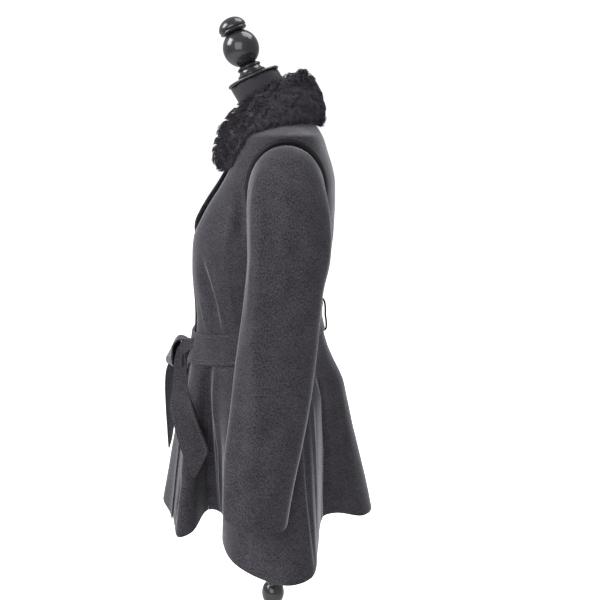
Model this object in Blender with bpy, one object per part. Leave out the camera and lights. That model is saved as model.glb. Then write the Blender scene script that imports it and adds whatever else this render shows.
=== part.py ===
"""A belted wool coat with a fur collar on a limbless dress form.

Metres, +Z up. The wearer faces -Y, and +X is the wearer's left. The origin is the centre of
the stand's underside, on the axis of the pole. Turns are degrees round the body from the
centre front (0) over the wearer's left side (90) to the centre back (180). The wearer's
right has negative turns.
"""

import math

import bmesh
import bpy
from mathutils import Matrix, Vector

# Cloth
CLOTH = 0.0025
SEAM_GAP = 0.0003
LAP_DEPTH = 0.0036
LAP_MARGIN = 3.0
LAP_RAMP = 8.0

# Waist, belt and hem
WAIST_Z = 0.992
WAIST_RISE = 0.026
FOLD_GROWTH = 1.1
BELT_WIDTH = 0.055
BELT_THICK = 0.003
BELT_CLEAR = 0.0012

# Smooth outline of the coat, one row for each level. front and back are Y at the centre,
# middle is Y of the widest point, power sets how square the section is.
SECTIONS = (
    # z, half_width, front, back, middle, power
    (0.600, 0.160, -0.162, 0.118, -0.010, 0.92),
    (0.800, 0.160, -0.162, 0.118, -0.010, 0.92),
    (0.880, 0.157, -0.162, 0.118, -0.012, 0.92),
    (0.935, 0.147, -0.158, 0.100, -0.014, 0.92),
    (0.975, 0.137, -0.151, 0.096, -0.016, 0.92),
    (1.010, 0.132, -0.146, 0.096, -0.016, 0.92),
    (1.050, 0.135, -0.145, 0.098, -0.010, 0.90),
    (1.100, 0.146, -0.148, 0.107, 0.004, 0.86),
    (1.150, 0.156, -0.146, 0.116, 0.018, 0.84),
    (1.180, 0.160, -0.142, 0.120, 0.028, 0.84),
    (1.210, 0.163, -0.130, 0.122, 0.034, 0.85),
    (1.240, 0.166, -0.113, 0.123, 0.035, 0.86),
    (1.270, 0.170, -0.093, 0.123, 0.035, 0.87),
    (1.300, 0.174, -0.077, 0.118, 0.035, 0.88),
    (1.330, 0.177, -0.066, 0.108, 0.035, 0.88),
    (1.352, 0.178, -0.057, 0.101, 0.035, 0.88),
    (1.362, 0.152, -0.053, 0.096, 0.035, 0.88),
    (1.372, 0.124, -0.048, 0.090, 0.035, 0.90),
    (1.382, 0.096, -0.043, 0.082, 0.034, 0.94),
    (1.392, 0.070, -0.038, 0.072, 0.032, 1.00),
)
SECTION_COLUMNS = ("z", "half_width", "front", "back", "middle", "power")

# Hem of the skirt, one row for each crest, valley or shoulder of a fold
HEM_FOLDS = (
    # turn, x, y, z
    (-170.0, -0.048, 0.182, 0.620),
    (-160.0, -0.068, 0.140, 0.634),
    (-150.0, -0.092, 0.112, 0.640),
    (-136.0, -0.180, 0.098, 0.628),
    (-121.0, -0.262, 0.092, 0.620),
    (-111.0, -0.297, 0.056, 0.618),
    (-100.0, -0.288, 0.010, 0.620),
    (-87.0, -0.245, -0.046, 0.624),
    (-74.0, -0.178, -0.076, 0.632),
    (-60.0, -0.098, -0.094, 0.642),
    (-49.0, -0.078, -0.126, 0.642),
    (-37.0, -0.130, -0.152, 0.626),
    (-27.0, -0.128, -0.184, 0.624),
    (-14.0, -0.062, -0.203, 0.632),
    (0.0, 0.0, -0.2235, 0.634),
    (14.0, 0.062, -0.199, 0.630),
    (27.0, 0.138, -0.174, 0.622),
    (35.0, 0.128, -0.145, 0.626),
    (48.0, 0.074, -0.124, 0.642),
    (59.0, 0.092, -0.092, 0.642),
    (72.0, 0.172, -0.085, 0.632),
    (86.0, 0.238, -0.059, 0.629),
    (99.0, 0.282, -0.010, 0.626),
    (111.0, 0.299, 0.040, 0.624),
    (121.0, 0.271, 0.079, 0.624),
    (135.0, 0.190, 0.090, 0.628),
    (150.0, 0.092, 0.101, 0.635),
    (160.0, 0.068, 0.130, 0.634),
    (170.0, 0.053, 0.180, 0.620),
    (180.0, 0.0, 0.205, 0.612),
)
SKIRT_LEVELS = (0.0, 0.08, 0.18, 0.31, 0.44, 0.58, 0.72, 0.86, 1.0)
SKIRT_STEP = 5.0

# Edges of the two fronts, as X at each height. The right front laps over the left.
FRONT_EDGES = (
    # z, left_x, right_x
    (0.940, -0.014, 0.044),
    (1.030, -0.014, 0.032),
    (1.080, -0.014, 0.021),
    (1.120, -0.013, 0.010),
    (1.150, -0.006, -0.001),
    (1.175, 0.012, -0.014),
    (1.210, 0.030, -0.030),
    (1.250, 0.041, -0.041),
    (1.300, 0.050, -0.050),
    (1.345, 0.056, -0.056),
    (1.372, 0.060, -0.060),
    (1.392, 0.062, -0.062),
)
FRONT_EDGE_COLUMNS = ("z", "left_x", "right_x")
SKIRT_LEFT_TURN = -4.0
SKIRT_RIGHT_TURN = 17.0

# Princess seams, turn at each height up to where they run into the armhole
SEAMS = (
    # z, front_turn, back_turn
    (0.940, 49.0, 148.0),
    (1.050, 47.0, 147.0),
    (1.110, 44.0, 146.0),
    (1.166, 41.5, 143.0),
    (1.220, 45.5, 139.5),
    (1.262, 51.0, 137.0),
    (1.306, 58.0, 135.0),
)
SEAM_COLUMNS = ("z", "front_turn", "back_turn")
PRINCESS_ENDS = (7, 5)
SIDE_SEAM = 95.0

# Armhole, an oval in the side view
ARMHOLE_Y = 0.035
ARMHOLE_Z = 1.263
ARMHOLE_HALF_Y = 0.071
ARMHOLE_HALF_Z = 0.087
ARMHOLE_LEVELS = 12
WAIST_TO_ARMHOLE = (0.992, 1.020, 1.048, 1.080, 1.115, 1.150)
LEVEL_FROM = 1.080
SHOULDER_LEVELS = (1.357, 1.365, 1.375, 1.386)
BAND_INNER = 0.898
BAND_OUTER = 0.988
BAND_PROUD = 0.0022
BAND_STEPS = 30

# Left sleeve, one row for each section from the armhole to the cuff: the underarm side and
# the outer side of the section in the X-Z plane, its middle and half size along Y, and how
# much its plane drops to the back.
SLEEVE_START = 0.872
SLEEVE = (
    # inner_x, inner_z, outer_x, outer_z, mid_y, half_y, slant
    (0.1660, 1.178, 0.191, 1.3385, 0.0350, 0.0640, 0.0),
    (0.1690, 1.168, 0.214, 1.3280, 0.0355, 0.0650, 0.0),
    (0.1705, 1.158, 0.237, 1.3070, 0.0370, 0.0665, 0.0),
    (0.1715, 1.147, 0.255, 1.2770, 0.0390, 0.0680, 0.0),
    (0.1720, 1.132, 0.266, 1.2380, 0.0405, 0.0685, 0.0),
    (0.1730, 1.112, 0.272, 1.1900, 0.0390, 0.0670, 0.0),
    (0.1740, 1.085, 0.275, 1.1380, 0.0320, 0.0645, 0.0),
    (0.1770, 1.045, 0.278, 1.0800, 0.0260, 0.0645, 0.0),
    (0.1820, 1.000, 0.283, 1.0200, 0.0200, 0.0665, 0.0),
    (0.1930, 0.950, 0.291, 0.9600, 0.0130, 0.0665, 0.0),
    (0.2070, 0.898, 0.302, 0.9040, 0.0055, 0.0650, 0.0),
    (0.2200, 0.850, 0.313, 0.8540, -0.0030, 0.0635, -0.03),
    (0.2330, 0.802, 0.323, 0.8050, -0.0105, 0.0590, -0.08),
    (0.2450, 0.744, 0.333, 0.7380, -0.0170, 0.0535, -0.20),
)
SLEEVE_COLUMNS = ("inner_x", "inner_z", "outer_x", "outer_z", "mid_y", "half_y", "slant")
SLEEVE_POWER = 0.94
HINDARM_TOP = 66.0
HINDARM_CUFF = 88.0
FOREARM_SEAM = -108.0
SLEEVE_SEAM = 0.17
SLEEVE_COLS = 11
TROUGH_TURN = -32.0
TROUGH_DEPTH = 0.005

# Fur collar, left half from its front end (place 0) to the nape (place 1): the centre of each
# section, its half length and thickness, and the way its face looks, as a turn and a rise.
COLLAR = (
    # place, x, y, z, half_length, half_thick, turn, rise
    (0.00, 0.056, -0.080, 1.296, 0.013, 0.008, 42.0, 18.0),
    (0.05, 0.058, -0.079, 1.303, 0.030, 0.016, 42.0, 18.0),
    (0.13, 0.062, -0.074, 1.318, 0.040, 0.020, 42.0, 20.0),
    (0.27, 0.075, -0.062, 1.344, 0.050, 0.022, 42.0, 26.0),
    (0.42, 0.084, -0.034, 1.376, 0.056, 0.023, 50.0, 36.0),
    (0.60, 0.092, 0.012, 1.405, 0.054, 0.021, 82.0, 44.0),
    (0.76, 0.080, 0.050, 1.420, 0.052, 0.022, 118.0, 36.0),
    (0.90, 0.042, 0.071, 1.424, 0.051, 0.023, 155.0, 24.0),
    (1.00, 0.0, 0.074, 1.424, 0.051, 0.024, 180.0, 19.0),
)
COLLAR_COLUMNS = ("place", "x", "y", "z", "half_length", "half_thick", "turn", "rise")
COLLAR_STEPS = 40
COLLAR_AROUND = 11
COLLAR_LUMP = 0.0035
COLLAR_CLEAR = 0.0018
COLLAR_LEAST = 0.010
COLLAR_PUSH = 0.0004

# Belt ends: the two edges of the strap at each height, and how far each corner of the end
# hangs below the last row
BELT_END_NEAR = (
    # z, front_x, front_y, back_x, back_y
    (0.9540, 0.0495, -0.1730, 0.0495, -0.1620),
    (0.9400, 0.0495, -0.1790, 0.0495, -0.1590),
    (0.9283, 0.054, -0.1820, 0.054, -0.1585),
    (0.9136, 0.063, -0.1818, 0.067, -0.1558),
    (0.8964, 0.078, -0.1819, 0.085, -0.1526),
    (0.8783, 0.092, -0.1836, 0.103, -0.1453),
    (0.8642, 0.102, -0.1842, 0.112, -0.1391),
    (0.8496, 0.109, -0.1809, 0.115, -0.1347),
    (0.8320, 0.114, -0.1750, 0.118, -0.1277),
    (0.8116, 0.118, -0.1694, 0.120, -0.1204),
    (0.7928, 0.121, -0.1633, 0.122, -0.1151),
    (0.7779, 0.123, -0.1586, 0.123, -0.1129),
)
NEAR_TIP = ((0.127, -0.1440, 0.7345), (0.126, -0.1335, 0.7380))
BELT_END_FAR = (
    (0.9560, -0.002, -0.1625, -0.026, -0.1615),
    (0.9430, -0.003, -0.1710, -0.030, -0.1680),
    (0.9300, -0.004, -0.1870, -0.036, -0.1800),
    (0.9150, -0.004, -0.2035, -0.040, -0.1935),
    (0.8960, -0.004, -0.2090, -0.044, -0.1995),
    (0.8700, -0.004, -0.2112, -0.048, -0.2035),
    (0.8420, -0.004, -0.2118, -0.050, -0.2050),
    (0.8100, -0.004, -0.2110, -0.051, -0.2060),
    (0.7700, -0.004, -0.2098, -0.051, -0.2060),
)
FAR_TIP = ((-0.004, -0.2085, 0.7390), (-0.034, -0.2080, 0.7480))
BELT_STRIPS = 4
KNOT_CENTRE = (0.028, -0.1687, 0.9620)
KNOT_HALF = (0.019, 0.0095, 0.017)
KNOT_TILT = 38.0

# Bow loop: centre line of the strap from the knot's top, over the front and back under itself
BOW_LOOP = (
    # place, y, z, half_width
    (0.0, -0.1622, 0.9795, 0.013),
    (1.0, -0.1690, 0.9804, 0.016),
    (2.0, -0.1760, 0.9770, 0.019),
    (3.0, -0.1833, 0.9685, 0.021),
    (4.0, -0.1905, 0.9575, 0.023),
    (5.0, -0.1965, 0.9440, 0.024),
    (6.0, -0.1985, 0.9320, 0.024),
    (7.0, -0.1935, 0.9240, 0.024),
    (8.0, -0.1875, 0.9270, 0.023),
    (9.0, -0.1865, 0.9370, 0.021),
)
BOW_LOOP_COLUMNS = ("place", "y", "z", "half_width")
BOW_LOOP_X = 0.024
BOW_LOOP_TURN = 5.0
BOW_LOOP_STEPS = 18
THREAD_RADIUS = 0.0011
THREAD_HALF_HEIGHT = 0.031
THREAD_BULGE = 0.009
THREAD_CLEAR = 0.0003

# Dress form, ease between cloth and form by height, and extra ease in front
FORM_EASE = (
    # z, ease, front_ease
    (0.790, 0.050, 0.030),
    (0.830, 0.024, 0.026),
    (0.880, 0.012, 0.024),
    (0.940, 0.010, 0.020),
    (1.000, 0.010, 0.012),
    (1.100, 0.010, 0.006),
    (1.180, 0.006, 0.004),
    (1.260, 0.003, 0.003),
    (1.320, 0.0030, 0.002),
    (1.392, 0.0024, 0.000),
)
FORM_EASE_COLUMNS = ("z", "ease", "front_ease")
FORM_BOTTOM = 0.796
FORM_AROUND = 26
NECK_TILT = 23.2
NECK_TOP = (0.0, -0.0270, 1.4585)
NECK_BASE = (0.0, 0.0080, 1.3990)
NECK_RADIUS = 0.0475
NECK_FLARE = 1.14
FINIAL = {
    "form_neck_cap": ((0.0, 0.0485), (0.0028, 0.0495), (0.0048, 0.0480), (0.0062, 0.0300)),
    "form_finial_collar": (
        (0.0, 0.0260), (0.0050, 0.0265), (0.0080, 0.0225), (0.0120, 0.0200),
        (0.0150, 0.0225), (0.0175, 0.0215), (0.0215, 0.0150),
    ),
    "form_finial_top": (
        (0.0, 0.0215), (0.0030, 0.0250), (0.0060, 0.0235), (0.0080, 0.0255),
        (0.0150, 0.0235), (0.0215, 0.0175), (0.0260, 0.0090),
    ),
}
BALL_RADIUS = 0.0330
TURNED_SIDES = 22

# Stand
POLE_RADIUS = 0.0125
KNOB_Z = 0.418
KNOB_RADIUS = 0.0235
KNOB_HALF = 0.026
BASE_RADIUS = 0.175
BASE_HEIGHT = 0.024


def clear_scene():
    """Remove whatever the scene holds."""
    for thing in list(bpy.data.objects):
        bpy.data.objects.remove(thing, do_unlink=True)


def material(name, colour, roughness, metallic=0.0):
    """A plain Principled material."""
    made = bpy.data.materials.new(name)
    made.use_nodes = True
    shader = made.node_tree.nodes["Principled BSDF"]
    shader.inputs["Base Color"].default_value = (*colour, 1.0)
    shader.inputs["Roughness"].default_value = roughness
    shader.inputs["Metallic"].default_value = metallic
    made.diffuse_color = (*colour, 1.0)
    return made


def eased(share):
    """0 to 1 with level ends."""
    share = min(1.0, max(0.0, share))
    return share * share * (3.0 - 2.0 * share)


def through(places, values, at):
    """A smooth curve through the values at rising places, without overshoot."""
    last = len(places) - 1
    if at <= places[0]:
        return values[0]
    if at >= places[last]:
        return values[last]
    i = max(k for k in range(last) if places[k] <= at)
    slopes = [(values[k + 1] - values[k]) / (places[k + 1] - places[k]) for k in range(last)]

    def tangent(k):
        if k in (0, last):
            return slopes[min(k, last - 1)]
        before, after = slopes[k - 1], slopes[k]
        if before * after <= 0.0:
            return 0.0
        return 2.0 * before * after / (before + after)

    span = places[i + 1] - places[i]
    t = (at - places[i]) / span
    return (
        values[i] * (2 * t**3 - 3 * t**2 + 1)
        + values[i + 1] * (3 * t**2 - 2 * t**3)
        + span * (tangent(i) * (t**3 - 2 * t**2 + t) + tangent(i + 1) * (t**3 - t**2))
    )


def read(table, columns, column, at):
    """A column of a table at a place between its rows, by the table's first column."""
    places = [row[0] for row in table]
    return through(places, [row[columns.index(column)] for row in table], at)


def section(z):
    """Half width, front, back, middle and power of the coat's outline at a height."""
    return [read(SECTIONS, SECTION_COLUMNS, name, z) for name in SECTION_COLUMNS[1:]]


def outline(turn, z):
    """The smooth outline of the coat."""
    half_width, front, back, middle, power = section(z)
    across, along = math.sin(math.radians(turn)), math.cos(math.radians(turn))
    x = half_width * math.copysign(abs(across) ** power, across)
    reach = middle - front if along > 0 else back - middle
    return Vector((x, middle - math.copysign(reach * abs(along) ** power, along), z))


def turn_at_y(y, z):
    """The turn, on the wearer's left, at which the outline has this Y."""
    _, front, back, middle, power = section(z)
    reach = middle - front if y < middle else back - middle
    share = min(1.0, abs(middle - y) / reach) ** (1.0 / power)
    return math.degrees(math.acos(math.copysign(share, middle - y)))


def turn_at_x(x, z):
    """The turn, in front, at which the outline has this X."""
    half_width, _, _, _, power = section(z)
    share = min(1.0, abs(x) / half_width) ** (1.0 / power)
    return math.copysign(math.degrees(math.asin(share)), x)


def waist_z(turn):
    """The waist seam and the belt's middle, which rise to the back."""
    return WAIST_Z - WAIST_RISE * math.cos(math.radians(turn))


def hem_point(turn):
    """The hem as it hangs, a closed smooth curve through the fold table."""
    rows = HEM_FOLDS
    count = len(rows)
    turns = [row[0] for row in rows]
    after = next((k for k in range(count) if turns[k] > turn), 0)
    picked = [rows[(after + k) % count] for k in (-2, -1, 0, 1)]
    places = [row[0] for row in picked]
    for k in range(1, 4):
        while places[k] < places[k - 1]:
            places[k] += 360.0
    at = turn
    while at < places[1] - 1e-9:
        at += 360.0
    span = places[2] - places[1]
    t = (at - places[1]) / span
    found = []
    for column in (1, 2, 3):
        a, b, c, d = [row[column] for row in picked]
        start = span * (c - a) / (places[2] - places[0])
        end = span * (d - b) / (places[3] - places[1])
        found.append(
            b * (2 * t**3 - 3 * t**2 + 1)
            + c * (3 * t**2 - 2 * t**3)
            + start * (t**3 - 2 * t**2 + t)
            + end * (t**3 - t**2)
        )
    return Vector(found)


def skirt(turn, down):
    """The skirt from the waist seam (down 0) to the hem (1), its folds growing on the way."""
    turn = (turn + 180.0) % 360.0 - 180.0
    hem = hem_point(turn)
    top = waist_z(turn)
    z = top + (hem.z - top) * down
    share = max(0.0, down) ** FOLD_GROWTH
    smooth = outline(turn, z)
    x = smooth.x * (1.0 - share) + hem.x * share
    y = smooth.y * (1.0 - share) + hem.y * share
    return Vector((x, y, z))


def normal_of(surface, across, along, step_across=0.5, step_along=0.004):
    """Outward normal of a surface function of two numbers."""
    a = surface(across + step_across, along) - surface(across - step_across, along)
    b = surface(across, along + step_along) - surface(across, along - step_along)
    return a.cross(b).normalized()


def bodice_surface(turn, z):
    return outline(turn, z)


def skirt_surface(turn, up):
    return skirt(turn, -up)


def new_object(name, mesh_data, finish):
    """An object of closed mesh data, smooth but for its sharp edges."""
    if mesh_data.calc_volume(signed=True) < 0.0:
        bmesh.ops.reverse_faces(mesh_data, faces=mesh_data.faces)
    mesh = bpy.data.meshes.new(name)
    mesh_data.to_mesh(mesh)
    mesh_data.free()
    mesh.materials.append(finish)
    mesh.shade_smooth()
    mesh.set_sharp_from_angle(angle=math.radians(40.0))
    made = bpy.data.objects.new(name, mesh)
    bpy.context.scene.collection.objects.link(made)
    return made


def wall(name, outer, inner, finish, ring=False):
    """A cloth wall between two grids of points, rows by columns. A ring closes on itself."""
    data = bmesh.new()
    rows, columns = len(outer), len(outer[0])
    out = [[data.verts.new(p) for p in row] for row in outer]
    back = [[data.verts.new(p) for p in row] for row in inner]
    last = columns if ring else columns - 1
    for i in range(rows - 1):
        for j in range(last):
            k = (j + 1) % columns
            data.faces.new((out[i][j], out[i][k], out[i + 1][k], out[i + 1][j]))
            data.faces.new((back[i + 1][j], back[i + 1][k], back[i][k], back[i][j]))
    for j in range(last):
        k = (j + 1) % columns
        data.faces.new((back[0][j], back[0][k], out[0][k], out[0][j]))
        data.faces.new((out[-1][j], out[-1][k], back[-1][k], back[-1][j]))
    if not ring:
        for i in range(rows - 1):
            data.faces.new((out[i][0], out[i + 1][0], back[i + 1][0], back[i][0]))
            data.faces.new((back[i][-1], back[i + 1][-1], out[i + 1][-1], out[i][-1]))
    return new_object(name, data, finish)


def tube(name, rings, finish, closed=False):
    """A solid through rings of points, with flat ends unless it closes on itself."""
    data = bmesh.new()
    made = [[data.verts.new(p) for p in ring] for ring in rings]
    count = len(rings[0])
    for i in range(len(made) if closed else len(made) - 1):
        near, far = made[i], made[(i + 1) % len(made)]
        for j in range(count):
            k = (j + 1) % count
            data.faces.new((near[j], near[k], far[k], far[j]))
    if not closed:
        data.faces.new(made[0][::-1])
        data.faces.new(made[-1])
    return new_object(name, data, finish)


def turned(name, profile, place, finish, sides=TURNED_SIDES):
    """A turned piece: (height, radius) pairs from its foot up, along the place's Z axis."""
    rings = [
        [
            place @ Vector((radius * math.cos(a), radius * math.sin(a), height))
            for a in (math.tau * k / sides for k in range(sides))
        ]
        for height, radius in profile
    ]
    return tube(name, rings, finish)


def panel(name, surface, levels, left, right, columns, finish, inset=None, height=None):
    """A cut piece of the coat: a wall between two seams, each a turn at each level."""
    outer, inner = [], []
    for level in levels:
        start, end = left(level), right(level)
        row, back = [], []
        for j in range(columns + 1):
            turn = start + (end - start) * j / columns
            along = height(turn, level) if height else level
            normal = normal_of(surface, turn, along)
            sunk = inset(turn, along) if inset else 0.0
            point = surface(turn, along) - normal * sunk
            row.append(point)
            back.append(point - normal * CLOTH)
        outer.append(row)
        inner.append(back)
    return wall(name, outer, inner, finish)


def seam_turn(surface, turn, along):
    """Half a seam gap, in degrees of turn."""
    reach = (surface(turn + 0.5, along) - surface(turn - 0.5, along)).length
    return 0.5 * SEAM_GAP / reach


def armhole_turn(z, back):
    """The turn of the armhole's edge at a height, on the wearer's left."""
    rise = (z - ARMHOLE_Z) / ARMHOLE_HALF_Z
    if abs(rise) >= 1.0:
        return 90.0 if z > ARMHOLE_Z else SIDE_SEAM
    reach = ARMHOLE_HALF_Y * math.sqrt(1.0 - rise * rise)
    return turn_at_y(ARMHOLE_Y + (reach if back else -reach), z)


def seam(column, z):
    return read(SEAMS, SEAM_COLUMNS, column, z)


def mirrored(edge):
    """The same edge on the wearer's other side."""
    return lambda z: -edge(z)


def round_back(edge):
    """The same edge on the wearer's right, reached over the centre back."""
    return lambda z: 360.0 - edge(z)


def front_edge(column, z):
    """Turn of a front's free edge."""
    return turn_at_x(read(FRONT_EDGES, FRONT_EDGE_COLUMNS, column, z), z)


def left_edge(z):
    return front_edge("left_x", z)


def right_edge(z):
    return front_edge("right_x", z)


def lap_inset(turn, z):
    """How far the left front is pushed in where the right front lies over it."""
    return LAP_DEPTH * eased((right_edge(z) + LAP_MARGIN + LAP_RAMP - turn) / LAP_RAMP)


def skirt_lap_inset(turn, up):
    return LAP_DEPTH * eased((SKIRT_RIGHT_TURN + LAP_MARGIN + LAP_RAMP - turn) / LAP_RAMP)


def bodice_height(turn, level):
    """The bodice's lowest levels rise to the back with the waist seam, the upper ones are level."""
    slope = min(1.0, max(0.0, (LEVEL_FROM - level) / (LEVEL_FROM - WAIST_Z)))
    return level - slope * WAIST_RISE * math.cos(math.radians(turn)) + slope * 0.5 * SEAM_GAP


def bodice_panels(wool):
    """Seven pieces from the waist seam to the armholes and shoulders."""
    armhole = [
        ARMHOLE_Z - ARMHOLE_HALF_Z * math.cos(math.pi * k / ARMHOLE_LEVELS)
        for k in range(ARMHOLE_LEVELS + 1)
    ]
    princess_end, back_end = armhole[PRINCESS_ENDS[0]], armhole[PRINCESS_ENDS[1]]

    shoulders = [*WAIST_TO_ARMHOLE, *armhole, *SHOULDER_LEVELS]

    def trimmed(turn, z, sign):
        return turn + sign * seam_turn(bodice_surface, turn, z)

    def front_outer(z):
        if z <= princess_end:
            return trimmed(seam("front_turn", z), z, -1)
        return trimmed(min(90.0, armhole_turn(z, False)), z, -1)

    def side_front_inner(z):
        return trimmed(seam("front_turn", z), z, 1)

    def side_front_outer(z):
        return trimmed(min(SIDE_SEAM, armhole_turn(z, False)), z, -1)

    def side_back_inner(z):
        return trimmed(max(SIDE_SEAM, armhole_turn(z, True)), z, 1)

    def side_back_outer(z):
        return trimmed(seam("back_turn", z), z, -1)

    def back_start(z):
        if z <= back_end:
            return trimmed(seam("back_turn", z), z, 1)
        return trimmed(max(90.0, armhole_turn(z, True)), z, 1)

    def piece(name, levels, start, end, columns, inset=None):
        panel(name, bodice_surface, levels, start, end, columns, wool, inset, bodice_height)

    to_front = [z for z in shoulders if z <= princess_end]
    to_back = [z for z in shoulders if z <= back_end]
    piece("bodice_front_L", shoulders, left_edge, front_outer, 6, lap_inset)
    piece("bodice_front_R", shoulders, mirrored(front_outer), right_edge, 6)
    piece("bodice_side_front_L", to_front, side_front_inner, side_front_outer, 4)
    piece("bodice_side_front_R", to_front, mirrored(side_front_outer), mirrored(side_front_inner), 4)
    piece("bodice_side_back_L", to_back, side_back_inner, side_back_outer, 4)
    piece("bodice_side_back_R", to_back, mirrored(side_back_outer), mirrored(side_back_inner), 4)
    piece("bodice_back", shoulders, back_start, round_back(back_start), 10)


def skirt_edge(turn, sign):
    """A skirt seam's edge, half a seam gap from the turn."""
    return lambda up: turn + sign * seam_turn(skirt_surface, turn, up)


def skirt_panels(wool):
    """Seven flared pieces from the waist seam to the hem."""
    gap = 0.5 * SEAM_GAP / (WAIST_Z - HEM_FOLDS[0][3])
    levels = [-(gap + (1.0 - gap) * share) for share in SKIRT_LEVELS[::-1]]
    front, back = SEAMS[0][1], SEAMS[0][2]
    pieces = (
        ("skirt_front_L", SKIRT_LEFT_TURN, front, skirt_lap_inset),
        ("skirt_side_front_L", front, SIDE_SEAM, None),
        ("skirt_side_back_L", SIDE_SEAM, back, None),
        ("skirt_back", back, 360.0 - back, None),
        ("skirt_side_back_R", 360.0 - back, 360.0 - SIDE_SEAM, None),
        ("skirt_side_front_R", -SIDE_SEAM, -front, None),
        ("skirt_front_R", -front, SKIRT_RIGHT_TURN, None),
    )
    for name, start, end, inset in pieces:
        columns = max(2, round((end - start) / SKIRT_STEP))
        left, right = skirt_edge(start, 1), skirt_edge(end, -1)
        panel(name, skirt_surface, levels, left, right, columns, wool, inset)


def armhole_point(share, angle, off, side):
    """A point of the armhole's plane: share of the oval, angle from its top to the back."""
    y = ARMHOLE_Y + share * ARMHOLE_HALF_Y * math.sin(angle)
    z = ARMHOLE_Z + share * ARMHOLE_HALF_Z * math.cos(angle)
    turn = turn_at_y(y, z)
    point = outline(turn, z) + normal_of(outline, turn, z) * off
    return Vector((side * point.x, point.y, point.z))


def armhole_band(side, mark, trim):
    """The black band that lies in the armhole's seam."""
    middle = 0.5 * (BAND_INNER + BAND_OUTER)
    profile = (
        (BAND_OUTER, -CLOTH), (BAND_OUTER, 0.4 * BAND_PROUD), (middle, BAND_PROUD),
        (BAND_INNER, 0.4 * BAND_PROUD), (BAND_INNER, -CLOTH),
    )
    rings = [
        [armhole_point(share, math.tau * k / BAND_STEPS, off, side) for share, off in profile]
        for k in range(BAND_STEPS)
    ]
    return tube(f"armhole_band_{mark}", rings, trim, closed=True)


def sleeve_section(row):
    """The columns of the sleeve table at a row number that may lie between two rows."""
    places = list(range(len(SLEEVE)))
    return [through(places, [r[c] for r in SLEEVE], row) for c in range(len(SLEEVE_COLUMNS))]


def sleeve_point(angle, row):
    """Left sleeve: angle from the outer side to the back, row -1 at the armhole."""
    a = math.radians(angle)
    if row < 0.0:
        start = armhole_point(SLEEVE_START, a, 0.0, 1)
        return start.lerp(sleeve_point(angle, 0.0), row + 1.0)
    inner_x, inner_z, outer_x, outer_z, mid_y, half_y, slant = sleeve_section(row)
    c = math.copysign(abs(math.cos(a)) ** SLEEVE_POWER, math.cos(a))
    s = math.copysign(abs(math.sin(a)) ** SLEEVE_POWER, math.sin(a))
    dent = TROUGH_DEPTH * eased(row / 4.0) * math.exp(-(((angle - TROUGH_TURN) / 16.0) ** 2))
    c -= dent / 0.05
    x = 0.5 * (inner_x + outer_x) + 0.5 * (outer_x - inner_x) * c
    y = mid_y + half_y * s
    z = 0.5 * (inner_z + outer_z) + 0.5 * (outer_z - inner_z) * c + slant * half_y * s
    return Vector((x, y, z))


def sleeve_grid(angles_at, rows, side):
    outer, inner = [], []
    for row in rows:
        line, back = [], []
        for angle in angles_at(row):
            point = sleeve_point(angle, row)
            normal = normal_of(sleeve_point, angle, row, 1.5, 0.12)
            centre = 0.25 * sum(
                (sleeve_point(a, row) for a in (0.0, 90.0, 180.0, 270.0)), Vector()
            )
            if normal.dot(point - centre) < 0.0:
                normal = -normal
            deep = point - normal * CLOTH
            line.append(Vector((side * point.x, point.y, point.z)))
            back.append(Vector((side * deep.x, deep.y, deep.z)))
        outer.append(line)
        inner.append(back)
    return outer, inner


def hindarm(row):
    """Angle of the seam at the back of the arm."""
    return HINDARM_TOP + (HINDARM_CUFF - HINDARM_TOP) * eased(row / (len(SLEEVE) - 1))


def spread(start, end):
    return [start + (end - start) * k / SLEEVE_COLS for k in range(SLEEVE_COLS + 1)]


def top_angles(row):
    return spread(FOREARM_SEAM + SLEEVE_SEAM, hindarm(row) - SLEEVE_SEAM)


def under_angles(row):
    return spread(hindarm(row) + SLEEVE_SEAM, 360.0 + FOREARM_SEAM - SLEEVE_SEAM)


def sleeves(wool):
    """Two-piece sleeves."""
    rows = [-0.99, -0.45] + list(range(len(SLEEVE)))
    for side, mark in ((1, "L"), (-1, "R")):
        wall(f"sleeve_top_{mark}", *sleeve_grid(top_angles, rows, side), wool)
        wall(f"sleeve_under_{mark}", *sleeve_grid(under_angles, rows, side), wool)


def in_body(point, margin):
    """Whether a point is inside the coat's upper outline or the form's neck, or near them."""
    if point.z < SECTIONS[-1][0]:
        half_width, front, back, middle, power = section(point.z - margin)
        reach = middle - front if point.y < middle else back - middle
        wide = abs(point.x) / (half_width + margin)
        deep = abs(point.y - middle) / (reach + margin)
        if wide ** (2.0 / power) + deep ** (2.0 / power) < 1.0:
            return True
    axis = Vector(NECK_TOP) - Vector(NECK_BASE)
    along = (point - Vector(NECK_BASE)).dot(axis) / axis.length_squared
    if along < -0.6:
        return False
    nearest = Vector(NECK_BASE) + axis * along
    return (point - nearest).length < NECK_RADIUS * NECK_FLARE + margin


def collar_centre(place):
    """Centre of the collar at a place from -1 (nape, from the right) over 0 to 1."""
    side = 1.0 if place >= 0.0 else -1.0
    x, y, z = (read(COLLAR, COLLAR_COLUMNS, name, abs(place)) for name in ("x", "y", "z"))
    return Vector((side * x, y, z))


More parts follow.
